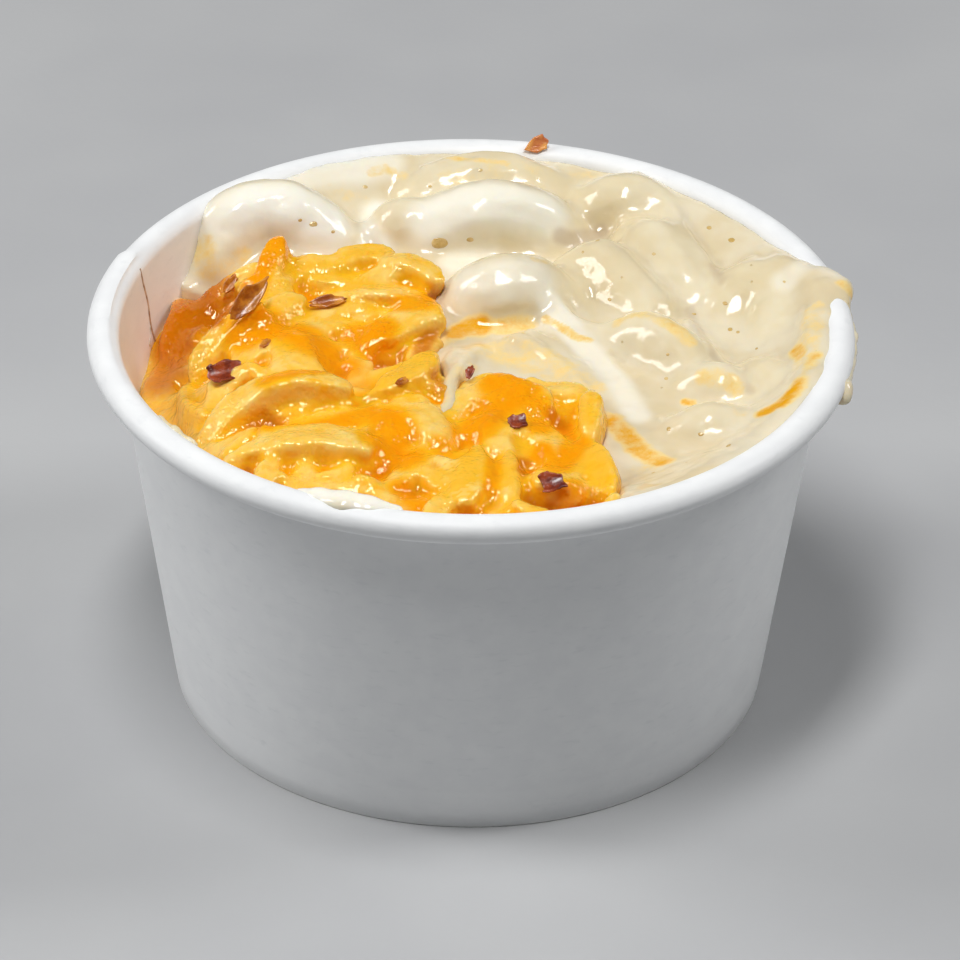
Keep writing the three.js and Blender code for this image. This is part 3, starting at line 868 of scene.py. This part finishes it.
def laid_strip(strip, one, roll):
    """A copy of the strip, laid along its own arc over the heap."""
    (x, y), turn, length, width, bow, lift, climb, thick = one
    angle = math.radians(turn)
    along = Vector((math.cos(angle), math.sin(angle), 0))
    aside = Vector((-along.y, along.x, 0))

    def place(reach, off, rise):
        spot = Vector((x, y, 0)) + along * reach + aside * off
        spot.z = shred_top(spot.x, spot.y) + lift + rise - thick / 2
        return spot

    ends = (place(-length / 2, -bow, -climb / 2), place(0, bow / 2, 0),
            place(length / 2, -bow, climb / 2))
    copy = strip.copy()
    copy.data = strip.data.copy()
    bpy.context.scene.collection.objects.link(copy)
    shade = (x * 12.9898 + y * 78.233 + turn) % 1
    grid = [tuple(vertex.co) for vertex in copy.data.vertices]
    marks = {"tone": [shade] * len(grid), "along": [u * length / 2 for u, v, w in grid],
             "across": [v * width / 2 + 9 * shade for u, v, w in grid]}
    for name, values in marks.items():
        copy.data.attributes.new(name, "FLOAT", "POINT").data.foreach_set("value", values)
    for vertex in copy.data.vertices:
        u, v, w = vertex.co
        centre, tangent = arc_point(ends, 0.5 + 0.5 * u)
        side = Vector((0, 0, 1)).cross(tangent).normalized()
        up = tangent.cross(side)
        side, up = (side * math.cos(roll) + up * math.sin(roll),
                    up * math.cos(roll) - side * math.sin(roll))
        vertex.co = (centre + side * (v * SLIMNESS * width / 2) + up * (w * thick / 2)) * MM
    return copy


def whole_over_shreds(one):
    """Whether the strip's middle and both its ends lie clear of the sauce."""
    (x, y), turn, length = one[:3]
    reach = Vector((math.cos(math.radians(turn)), math.sin(math.radians(turn)))) * length / 2
    return all(over_shreds(x + share * reach.x + 0.8, y + share * reach.y + 0.8)
               for share in (-1, 0, 1))


def drawn_shred(draws, x, y, spans):
    """A shred here, pointing any way, its measures drawn in turn."""
    return ((x, y), draws.draw(0, 180), *[draws.draw(*span) for span in spans])


def fill_shreds():
    draws = Draws(20261)
    reach = inner_radius(SHRED_LEVEL) - WALL_GAP
    found = []
    for i in range(FILL_COUNT):
        radius = reach * math.sqrt((i + 0.5) / FILL_COUNT)
        x = radius * math.cos(i * GOLDEN_ANGLE) + draws.draw(-1, 1)
        y = radius * math.sin(i * GOLDEN_ANGLE) + draws.draw(-1, 1)
        one = drawn_shred(draws, x, y, FILL_SPANS)
        crowded = any(math.hypot(big[0][0] - x, big[0][1] - y) < FILL_GAP for big in BIG_SHREDS)
        if whole_over_shreds(one) and not crowded:
            found.append(one)
    return found


def shred_ground():
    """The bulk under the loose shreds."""
    return slab("shred_bulk", BULK_CELLS, lambda x, y: not over_shreds(x - 0.5, y - 0.5),
                lambda x, y: shred_top(x, y) - BULK_UNDER, BULK_DEPTH)


def make_shreds():
    strips = [torn_strip(number) for number in range(STRIP_KINDS)]
    draws = Draws(99)
    laid = [shred_ground()]
    for i, one in enumerate([*BIG_SHREDS, *fill_shreds()]):
        laid.append(laid_strip(strips[i % STRIP_KINDS], one, draws.draw(-0.35, 0.35)))
    crumbs = Draws(4)
    for i in range(CRUMB_COUNT):
        x, y = crumbs.draw(-44, 22), crumbs.draw(-40, 24)
        one = drawn_shred(crumbs, x, y, CRUMB_SPANS)
        if whole_over_shreds(one) and math.hypot(x, y) < inner_radius(SHRED_LEVEL) - WALL_GAP:
            laid.append(laid_strip(strips[i % STRIP_KINDS], one, crumbs.draw(-0.8, 0.8)))
    for strip in strips:
        bpy.data.objects.remove(strip)
    heap = joined("cheddar_shreds", laid)
    marks = strip_marks(heap)
    moulded(heap, HEAP_VOXEL)
    smoothed(heap, 2)
    glaze = make_glaze(heap)
    cheddar = melted_together(heap, glaze)
    roughened(cheddar, "coarse_lumps", 2.4, 0.4)
    roughened(cheddar, "fine_lumps", 1.0, 0.24)
    marked_again(kept_in_tub(cheddar), marks)
    mark_rise(cheddar, heap, glaze)
    for source in (heap, glaze):
        bpy.data.objects.remove(source)
    cheddar.name = "cheddar_shreds"
    return cheddar


def melted_together(heap, glaze):
    """One skin round copies of the shreds and of the melted cheese between them."""
    cheddar = joined("melted_cheddar", [doubled(piece) for piece in (heap, glaze)])
    moulded(cheddar, CHEDDAR_VOXEL)
    return smoothed(cheddar, 3)


STRIP_MARKS = ("tone", "along", "across")


def strip_marks(heap):
    """Remembers the strips' own marks at each point, before the strips melt together."""
    tree = mathutils.kdtree.KDTree(len(heap.data.vertices))
    for i, vertex in enumerate(heap.data.vertices):
        tree.insert(vertex.co, i)
    tree.balance()
    values = {name: [mark.value for mark in heap.data.attributes[name].data] for name in STRIP_MARKS}
    return tree, values


def marked_again(cheddar, marks):
    """Gives each point the marks of the strip that it came from."""
    tree, values = marks
    nearest = [tree.find(vertex.co)[1] for vertex in cheddar.data.vertices]
    for name in STRIP_MARKS:
        layer = cheddar.data.attributes.new(name, "FLOAT", "POINT")
        layer.data.foreach_set("value", [values[name][i] for i in nearest])


# ---- painting -------------------------------------------------------------------------------

# Each stroke: the points it runs through, how far it reaches, and how strong it is.
CHEDDAR_STROKES = [
    ([(-4.4, 2.8, 47.1), (-3, 4.4, 46.8), (-1.4, 6.4, 45.9), (1, 6.6, 45.9)], 2.6, 1),
    ([(1, 6.6, 45.9), (4.2, 6.6, 45.9), (7, 7.4, 46.1)], 1.9, 0.75),
    ([(3, 1, 46.2), (9, -2, 46), (14, -8, 45.8)], 4, 0.42),
    ([(9.3, 7.9, 46.4), (11.1, 5.9, 46.5), (13, 3.8, 46.3), (14.9, 2.9, 46.2)], 0.9, 0.6),
    ([(17.4, -15.1, 46), (18.6, -17.7, 45.5), (20.4, -21.4, 45.6), (23.3, -24.8, 45.7)], 2.4, 0.85),
    ([(0.2, 0.2, 45.8), (-2.4, -10, 47), (-3.7, -18.6, 46.8)], 3, 0.22),
    ([(36.3, -17.5, 48.5), (37.9, -17.5, 49), (39.4, -16, 49.3), (40.9, -13.3, 49.4)], 2.2, 1),
    ([(40.9, -13.3, 49.4), (41.8, -10.6, 49.6), (42.6, -7.4, 49.8)], 1.8, 0.8),
    ([(40.6, -3.5, 49), (41.2, -5.8, 49.3)], 1.8, 0.9),
    ([(41.4, -9, 49.2), (42.4, -3, 49.6), (43.2, 3, 50)], 2.6, 0.35),
    ([(18.7, 4.8, 48.1), (21.2, 5.2, 49.1), (23.6, 2.5, 49.8), (26.1, 0.2, 49.5),
      (27.3, -1.3, 48.9)], 1.8, 0.5),
    ([(29, -8.4, 48.2), (31.5, -9.4, 48.1), (32.7, -10.1, 47.4)], 2.2, 0.5),
    ([(26.5, -10.5, 45.6), (27.4, -10.9, 45.7)], 0.9, 0.8),
    ([(26.9, -16.3, 48.2), (30.2, -11.6, 46.4), (33, -17, 48.2)], 1.6, 0.25),
    ([(46.8, 8.9, 51), (47.9, 7.9, 50.3)], 1.5, 0.55),
    ([(43.8, 4.4, 50.6), (44.6, 2.6, 50.8)], 1.6, 0.4),
    ([(-34.4, 24.1, 46.4), (-33.8, 22.6, 44)], 3, 0.5),
    ([(-33, 22.6, 44.6), (-30.2, 23.4, 45.8)], 2.6, 0.4),
    ([(-3.8, 41.5, 51.1), (-0.6, 39.9, 51.6), (4.2, 39.5, 51.4)], 0.9, 0.55),
    ([(-4.5, 37.1, 50.1), (-1.9, 37.6, 50.6), (6, 39.3, 51.3), (9.3, 39.2, 50.6)], 2.2, 0.22),
    ([(-13.5, 39.6, 49.8), (-11.8, 40.4, 50), (-9.1, 39.4, 49.3)], 1.2, 0.4),
    ([(-18.9, 36, 49), (-14.7, 35.5, 47.8)], 1.8, 0.2),
    ([(7.7, 14.6, 51), (9.2, 15.4, 50.3)], 1, 0.4),
    ([(20.6, -26.4, 45.5), (23.1, -27.7, 45.8), (25.5, -29, 46.1)], 2.2, 0.3),
    ([(12, 41, 49.4), (19, 38.6, 49.2)], 2, 0.2),
    ([(-36.3, -25.6, 50.2), (-33.6, -30, 50.2)], 2, 0.35),
]
# Whiter sauce along these strokes, partly painted light on the lit lobes of the noodles.
WHITE_AND_LIT_STROKES = [
    ([(9, 11, 49.5), (11, 8, 47), (14.6, 1, 46), (18.5, -7, 46), (20.6, -14, 46)], 2.6, 0.6),
    ([(-30, 33, 48.4), (-22, 38, 49.6), (-12, 41.5, 50.2)], 4, 0.6),
    ([(-13, 26, 45.6), (-12.4, 34, 46.4)], 3.4, 0.8),
    ([(-2, 23, 45.8), (8, 22.6, 45.8)], 3.4, 0.6),
    ([(-32, 27.4, 48.6), (-28.4, 27.6, 51), (-24, 27.6, 51), (-19.6, 27, 48.4)], 5.4, 0.95),
    ([(-5.2, 28, 48.6), (-1.4, 28, 50.6), (4, 28, 51.6), (9.2, 28, 50)], 5, 0.8),
    ([(0.4, 11.6, 48.4), (4, 10.4, 50.4), (7.6, 12.2, 49.6)], 4.4, 0.55),
    ([(40, 12, 49.6), (44, 14, 50.6), (46.5, 12, 50.6)], 3, 0.5),
    ([(-9, -43.6, 50.8), (-19, -40.6, 50.6)], 3.6, 0.9),
]
# Painted shade along creases and under skin ridges; the first stroke is a real streak of red pepper under
# the sauce.
CREASE_SHADE_AND_PEPPER_STROKES = [
    ([(0.1, 44.3, 50.7), (2, 44.4, 50.9), (4.2, 43.9, 51)], 0.7, 0.75),
    ([(31, 18.6, 48), (32.2, 14.6, 48), (33.4, 14.6, 48.4)], 1.2, 0.22),
    ([(11.3, 27.2, 47.5), (12.9, 27.7, 46.6), (16.6, 30.8, 46.1)], 1.6, 0.32),
    ([(27.8, 11.7, 45.7), (28.9, 5.3, 46.5), (30.1, -2.1, 47), (34.6, -10.2, 47.1)], 1, 0.2),
    ([(-13.6, 30, 45.6), (-12.4, 27, 45.6)], 1.4, 0.15),
]
GLAZE_STROKES = [
    ([(-24.6, 18.6, 51), (-26, 16, 51), (-26.9, 14.6, 50.3), (-27.8, 13.2, 49.2),
      (-28.4, 8.6, 49.4)], 3, 1),
    ([(-35.2, 17.6, 42.8), (-36.9, 13.6, 42.1), (-38.4, 10.7, 40.9)], 4.6, 0.85),
    ([(-28.6, 2.1, 47.6), (-25.4, 3, 48.6), (-21.6, 1, 48.4), (-19, -1.7, 47.8)], 4.4, 1),
    ([(-19, -1.7, 47.8), (-16, -5, 47.8)], 3.6, 1),
    ([(-24.8, -12.4, 48.7), (-21.1, -11.3, 49.2), (-16, -9.6, 48.6)], 2.2, 0.9),
    ([(-14.1, 2.3, 47), (-12.1, -1.3, 47.7), (-11.5, 1.7, 48.7)], 3.2, 1),
    ([(-9.2, 6.8, 49.5), (-6, 7.2, 49.3), (-5, 10.6, 49)], 2.6, 0.9),
    ([(-24.8, -20.6, 47.6), (-22, -20, 47.5), (-18.4, -19.6, 47.7), (-14.8, -18.4, 47.8),
      (-12, -16.9, 47.6)], 2.3, 1),
    ([(-10.5, -18.1, 47.6), (-9, -22, 47.4), (-11, -24, 47), (-7.6, -26.6, 47.2)], 3.6, 1),
    ([(3.6, -12, 49.3), (6, -14.1, 49.2), (3, -16.4, 48.4), (0.4, -20.9, 48.2)], 4, 1),
    ([(7.9, -16.2, 49), (8.5, -20, 48.4)], 3, 0.9),
    ([(-3.6, -24.6, 47.6), (-1.4, -26.4, 48)], 2.4, 0.7),
    ([(3, -27.4, 48.2), (2.6, -34, 47.4)], 1.5, 0.8),
    ([(8.5, -25.6, 47.7), (10.6, -29, 48), (12.8, -24, 47.8)], 2.6, 1),
    ([(10.8, -36, 47.1), (13, -34, 47.6)], 2.6, 0.9),
    ([(-5.6, -35.4, 46.6), (-8, -33, 46.8)], 2.4, 0.8),
]
# Painted shade, a brown, in gaps between shreds and over the slab in the shade of the left wall.
RECESS_SHADE_STROKES = [
    ([(-32, 5.8, 46.5), (-31.4, 8.6, 46.2)], 2, 0.9),
    ([(-5.2, 3.4, 46.4), (-6, 1, 46.6), (-6.4, -2, 47)], 1.6, 0.8),
    ([(-5.4, -8.2, 47.4), (-3.8, -10.6, 47)], 1.8, 0.7),
    ([(9.8, -17, 47.4), (11.2, -18.4, 47.2)], 1.6, 0.8),
    ([(-4.1, -29.4, 46.6), (-3.2, -27.4, 46.6)], 1.5, 0.8),
    ([(6, -30.2, 47), (6.6, -27, 47)], 1.6, 0.8),
    ([(-33.6, 19.4, 43.4), (-35.2, 17.6, 42.8), (-36.9, 13.6, 42.1), (-38.4, 10.7, 40.9),
      (-40, 4, 41)], 5.4, 0.85),
    ([(-30.2, 9.4, 46.6), (-29, 11.6, 47)], 2.2, 0.5),
]
# How far below the heap's top the painted shade, a brown, sets in, and where it is full.
SHRED_SHADE_DEPTHS = (1.2, 3.8)
# Points lower than this lie inside the tub, out of sight, and are left unpainted.
UNSEEN_BELOW = 35.0


def painted_on(piece, name, rule):
    """Stores the rule's value at every point of the piece, under this name."""
    layer = piece.data.attributes.new(name, "FLOAT", "POINT")
    places = [tuple(vertex.co / MM) for vertex in piece.data.vertices]
    layer.data.foreach_set("value", [rule(*place) if place[2] > UNSEEN_BELOW else 0.0 for place in places])


def gap_to_line(x, y, z, points):
    best = 1e9
    for (ax, ay, az), (bx, by, bz) in zip(points, points[1:]):
        dx, dy, dz = bx - ax, by - ay, bz - az
        share = ((x - ax) * dx + (y - ay) * dy + (z - az) * dz) / (dx * dx + dy * dy + dz * dz)
        share = min(max(share, 0.0), 1.0)
        ex, ey, ez = x - ax - share * dx, y - ay - share * dy, z - az - share * dz
        best = min(best, ex * ex + ey * ey + ez * ez)
    return math.sqrt(best)


def stroked(strokes, core=0.35):
    """A rule that is strong along each stroke and fades to nothing at its reach."""
    boxed = []
    for points, reach, strength in strokes:
        xs, ys, zs = zip(*points)
        boxed.append((min(xs) - reach, max(xs) + reach, min(ys) - reach, max(ys) + reach,
                      points, reach, strength))

    def rule(x, y, z):
        value = 0.0
        for left, right, near, far, points, reach, strength in boxed:
            if left < x < right and near < y < far:
                share = 1 - smooth_step(core * reach, reach, gap_to_line(x, y, z, points))
                value = max(value, share * strength)
        return value
    return rule


def paint_sauce(sauce):
    noodles = [(points, 1.22 * radius, 1.0) for points, radius in NOODLES]
    painted_on(sauce, "noodle", stroked(noodles, 0.72))
    painted_on(sauce, "cheddar", stroked(CHEDDAR_STROKES))
    # Whiter sauce, partly painted light on the lit lobes.
    painted_on(sauce, "white_and_lit", stroked(WHITE_AND_LIT_STROKES))
    # Painted crease shade, and one pepper streak.
    painted_on(sauce, "dark", stroked(CREASE_SHADE_AND_PEPPER_STROKES))
    return sauce


RECESS_SHADE_PLACES = stroked(RECESS_SHADE_STROKES)


def shred_recess_shade(x, y, z):
    return max(0.9 * smooth_step(*SHRED_SHADE_DEPTHS, shred_top(x, y) + 0.8 - z), RECESS_SHADE_PLACES(x, y, z))


# ---- melted cheddar between the shreds ------------------------------------------------------

GLAZE_COVER = 1.2
RISE_LIMIT = 3.0


def make_glaze(heap):
    """A skin that closes the gaps of the heap, a little below its crests."""
    glaze = doubled(heap)
    swollen(glaze, 1.3)
    moulded(glaze, GLAZE_VOXELS[0])
    swollen(glaze, -2.2)
    moulded(glaze, GLAZE_VOXELS[1])
    smoothed(glaze, 3)
    over = stroked(GLAZE_STROKES)
    upward = [vertex.normal.z > 0.2 for vertex in glaze.data.vertices]
    for vertex, faces_up in zip(glaze.data.vertices, upward):
        if faces_up:
            vertex.co.z += GLAZE_COVER * over(*(vertex.co / MM)) * MM
    return glaze


def mark_rise(cheddar, heap, glaze):
    """Stores how far each point stands out of the melted cheese, or lies under it."""
    layer = cheddar.data.attributes.new("rise", "FLOAT", "POINT")
    values = []
    for vertex in cheddar.data.vertices:
        _, place, normal, _ = glaze.closest_point_on_mesh(vertex.co)
        value = (vertex.co - place).dot(normal) / MM
        if value < 0.15:
            _, place, normal, _ = heap.closest_point_on_mesh(vertex.co)
            value = min(value, -(vertex.co - place).dot(normal) / MM)
        values.append(min(max(value, -RISE_LIMIT), RISE_LIMIT))
    layer.data.foreach_set("value", values)


# ---- small scraps ---------------------------------------------------------------------------

# Where each browned scrap lies (x, y) and how far it stands up, its length and width, how wide its
# two ends are beside its middle, how far it curls, and its spin, lean and turn (degrees).
DARK_SCRAPS = [
    ((-30.7, -5), 0.3, (4.8, 3.2), (0.8, 0.5), 0.9, (0, 24, 28)),
    ((5.7, -20.2), 0.1, (2.2, 2.3), (0.6, 0.8), 0.4, (0, 20, 10)),
    ((9.9, -33.8), 0.5, (3, 2.9), (0.9, 0.7), 0.5, (15, 30, 0)),
    ((-0.2, -8.6), 1.2, (2, 1.1), (0.4, 0.5), 0.8, (70, 20, 10)),
]
AMBER_SCRAPS = [
    ((-28, 4.9), 1.3, (6.6, 3), (0.5, 0.1), 0.9, (36, 62, 20)),
    ((-18.4, 8.5), 0.6, (4.6, 1.9), (0.35, 0.3), 0.7, (8, 34, 4)),
    ((-31.2, 16.2), 0.6, (2.8, 1.5), (0.4, 0.5), 1, (50, 50, 10)),
    ((-25.8, -1), 0, (1.8, 1.2), (0.5, 0.5), 0.6, (30, 10, 20)),
    ((-8.5, -12), 0, (1.7, 1.2), (0.5, 0.6), 0.5, (0, 10, 40)),
]
CHIP = ((8.1, 44.3), 0, (3.1, 2.1), (0.06, 0.9), 0.25, (22, 58, 0))
CHIP_HEIGHT = 51.5
SCRAP_THICKNESS = 0.35
DROP_FROM = 80


def torn_leaf(number, one, height):
    """A thin leaf with torn edges, curled and leaning."""
    (x, y), stand, (length, width), tips, curl, angles = one
    bpy.ops.object.select_all(action="DESELECT")
    bpy.ops.mesh.primitive_grid_add(x_subdivisions=8, y_subdivisions=5, size=2, location=(0, 0, 0))
    leaf = bpy.context.object
    leaf.name = "scrap"
    draws = Draws(40 + number)
    for vertex in leaf.data.vertices:
        u, v, w = vertex.co
        share = 1 - (1 - tips[0 if u < 0 else 1]) * abs(u) ** 1.4
        torn = draws.draw(-0.22, 0.22) if max(abs(u), abs(v)) > 0.99 else draws.draw(-0.05, 0.05)
        vertex.co = Vector(((u + torn) * length / 2, v * (share + torn) * width / 2,
                            curl * (0.5 * u * u * share + v * v * share * share) * width / 3)) * MM
    modifier(leaf, "SOLIDIFY", thickness=SCRAP_THICKNESS * MM, offset=0)
    modifier(leaf, "SUBSURF", levels=2, render_levels=2)
    spin, lean, turn = (math.radians(angle) for angle in angles)
    pose = Matrix.Rotation(turn, 3, "Z") @ Matrix.Rotation(lean, 3, "X") @ Matrix.Rotation(spin, 3, "Z")
    leaf.rotation_euler = pose.to_euler()
    leaf.location = Vector((x, y, height + stand)) * MM
    return settle(leaf)


def scraps_on(name, first, places, piece):
    """The scraps, each set down on the face of the piece under it."""
    leaves = []
    for number, one in enumerate(places):
        _, place, _, _ = piece.ray_cast(Vector((*one[0], DROP_FROM)) * MM, Vector((0, 0, -1)))
        leaves.append(torn_leaf(first + number, one, place.z / MM))
    return joined(name, leaves)


# ---- sauce over the rim ---------------------------------------------------------------------

# Balls of sauce on the rim: bearing (degrees), distance out, height, and size out, along and up.
SPILL = [
    (21.5, 42.9, 49.9, 1.6, 3, 1), (18, 43.9, 50.1, 2.2, 2.6, 1.2), (15.8, 46.2, 50, 2, 1.9, 1.4),
    (14, 46.9, 49.9, 2.1, 2.2, 1.6), (12, 47.5, 49.8, 2, 2, 1.8), (10.8, 47.4, 49.4, 1.7, 1.6, 1.8),
    (8.4, 47.1, 49.8, 1.4, 1.7, 1.4), (15, 45.2, 50.3, 2.4, 2.2, 1.3), (11.5, 45.2, 50.3, 2.6, 2.4, 1.4),
    (8, 45, 50.2, 2.2, 2.4, 1.2), (4.2, 44.6, 50.1, 1.4, 2.2, 1.1), (4, 42.9, 49.8, 1.5, 3.4, 1.1),
    (-2, 42.7, 49.7, 1.4, 4, 1.1), (-8, 42.6, 49.4, 1.3, 4, 1.1), (-13.5, 42.4, 49.2, 1.2, 3.4, 1),
    (5.5, 47.75, 49.3, 0.5, 2.2, 1.1), (1.5, 47.8, 49.3, 0.5, 2.2, 1.1),
    (-0.9, 48.15, 49.5, 0.75, 0.7, 0.7), (-3.5, 47.8, 49.1, 0.5, 2.4, 1.1), (-8, 47.8, 49, 0.5, 2.6, 1.1),
    (-12, 47.8, 48.9, 0.6, 2.4, 1.2), (-15.2, 47.9, 48.9, 1, 1.3, 1.4),
    (-16.6, 47.9, 48.3, 1.1, 1.1, 1.3), (-101.8, 44.6, 50.3, 1, 1.8, 0.9),
    (-105.2, 44.9, 50.7, 1.8, 2.4, 1), (-109.2, 45.1, 50.8, 2.1, 2.6, 0.95),
    (-113, 44.9, 50.6, 1.7, 2.2, 0.9), (-116, 44.6, 50.3, 1, 1.6, 0.8),
    (-139.5, 44.3, 50.1, 0.55, 1.8, 0.9), (-143.5, 44.35, 50.2, 0.6, 2, 0.85),
    (-147.5, 44.3, 50, 0.5, 2, 0.8), (164.6, 43.3, 43.4, 0.3, 0.5, 1.2),
    (163.6, 43.1, 41.6, 0.35, 0.7, 1.3), (165, 42.9, 39.8, 0.3, 0.9, 1.2),
]


def spill_balls():
    balls = []
    for bearing, out, height, thick, long, tall in SPILL:
        angle = math.radians(bearing)
        spill = ball(1, segments=20, rings=12)
        spill.scale = (thick * MM, long * MM, tall * MM)
        spill.rotation_euler = (0, 0, angle)
        spill.location = (out * math.cos(angle) * MM, out * math.sin(angle) * MM, height * MM)
        balls.append(settle(spill))
    return balls


# Each drop of oil in the sauce: place and radius.
OIL_DROPS = [
    (30.6, 27.4, 49, 0.45), (33.5, 24.1, 48.9, 0.55), (32, 10.7, 47.7, 0.4), (32.8, 7.1, 45.6, 0.5),
    (33.7, 6.3, 45.8, 0.35), (28.3, 10.9, 45.7, 0.35), (24.3, -5.5, 45.9, 0.4), (24.3, -18.4, 46.4, 0.4),
    (28.2, -20.3, 47, 0.4), (31.3, -25.1, 48.4, 0.5), (-4.2, 25.5, 47.2, 1.25), (-0.4, 25.8, 47.5, 0.5),
    (-20.8, 26, 49.5, 0.55), (-22.5, 26.1, 50, 0.3), (-18.2, 25.8, 48.5, 0.3), (-14.4, 37.6, 48.5, 0.4),
    (-5.8, 36.6, 49.4, 0.3), (0.8, 38.2, 51, 0.35), (17.6, 12.4, 46.6, 0.35), (35.6, 1.4, 47, 0.3),
    (26, -1, 46, 0.3), (22.8, 19.4, 50.2, 0.35), (16, 21.6, 50.4, 0.35), (14, 19.6, 49.6, 0.3),
    (22, -28, 47, 0.3), (40, 12, 49, 0.3),
]
DROP_SHAPE = (1.1, 0.8, 0.22)


def make_oil_drops(sauce):
    """Amber drops, pressed flat on the face of the sauce."""
    drops = []
    for x, y, z, size in OIL_DROPS:
        _, place, normal, _ = sauce.closest_point_on_mesh(Vector((x, y, z)) * MM)
        drop = ball(size * MM)
        edit(drop)
        bpy.ops.transform.vertex_random(offset=0.12 * size * MM, uniform=0.5, normal=0.5,
                                        seed=len(drops))
        bpy.ops.mesh.vertices_smooth(factor=0.5, repeat=2)
        done()
        drop.scale = DROP_SHAPE
        drop.rotation_euler = normal.to_track_quat("Z", "Y").to_euler()
        drop.location = place - normal * 0.1 * size * MM
        drops.append(settle(drop))
    return joined("oil_drops", drops)


# ---- all together ---------------------------------------------------------------------------

def finished(piece, material, node, sharp_from=None):
    """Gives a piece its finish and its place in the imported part."""
    piece.data.materials.clear()
    piece.data.materials.append(material)
    select_only(piece)
    if sharp_from is None:
        bpy.ops.object.shade_smooth()
    else:
        bpy.ops.object.shade_smooth_by_angle(angle=math.radians(sharp_from))
    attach(piece, "root")
    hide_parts(node)
    return piece


def make_tub():
    board = board_finish()
    finished(make_paper_wall(), board, "paper_wall", SHARP_FROM)
    finished(make_base(), board, "base_disc", SHARP_FROM)
    # The seam line: seeped sauce and painted shadow of the lap's step.
    finished(make_seam(), seam_finish(), "paper_wall")


def make_macaroni():
    ivory = sauce_finish()
    sauce = finished(paint_sauce(make_sauce()), ivory, "sauced_macaroni")
    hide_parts("rim_sauce")
    amber = toasted_finish("amber_oil", (0.58, 0.38, 0.11), (0.74, 0.55, 0.25))
    finished(make_oil_drops(sauce), amber, "sauced_macaroni")
    red = toasted_finish("red_pepper_scrap", (0.60, 0.17, 0.06), (0.90, 0.42, 0.10))
    chip = torn_leaf(20, CHIP, CHIP_HEIGHT)
    chip.name = "pepper_scrap"
    finished(chip, red, "sauced_macaroni")


def make_cheddar():
    cheddar = make_shreds()
    painted_on(cheddar, "glaze", stroked(GLAZE_STROKES))
    # Painted shade, a brown, low in the heap's recesses.
    painted_on(cheddar, "deep", shred_recess_shade)
    finished(cheddar, cheddar_finish(), "shred_heap")
    dark = scraps_on("dark_scraps", 0, DARK_SCRAPS, cheddar)
    maroon = toasted_finish("charred_cheese", (0.10, 0.010, 0.006), (0.36, 0.06, 0.015))
    finished(dark, maroon, "shred_heap")
    amber = scraps_on("amber_scraps", 9, AMBER_SCRAPS, cheddar)
    brown = toasted_finish("browned_cheese", (0.34, 0.08, 0.008), (0.72, 0.29, 0.03))
    finished(amber, brown, "shred_heap")


bpy.context.scene.view_settings.view_transform = "Standard"
make_floor(floor_finish())
light_studio()
make_tub()
make_macaroni()
make_cheddar()
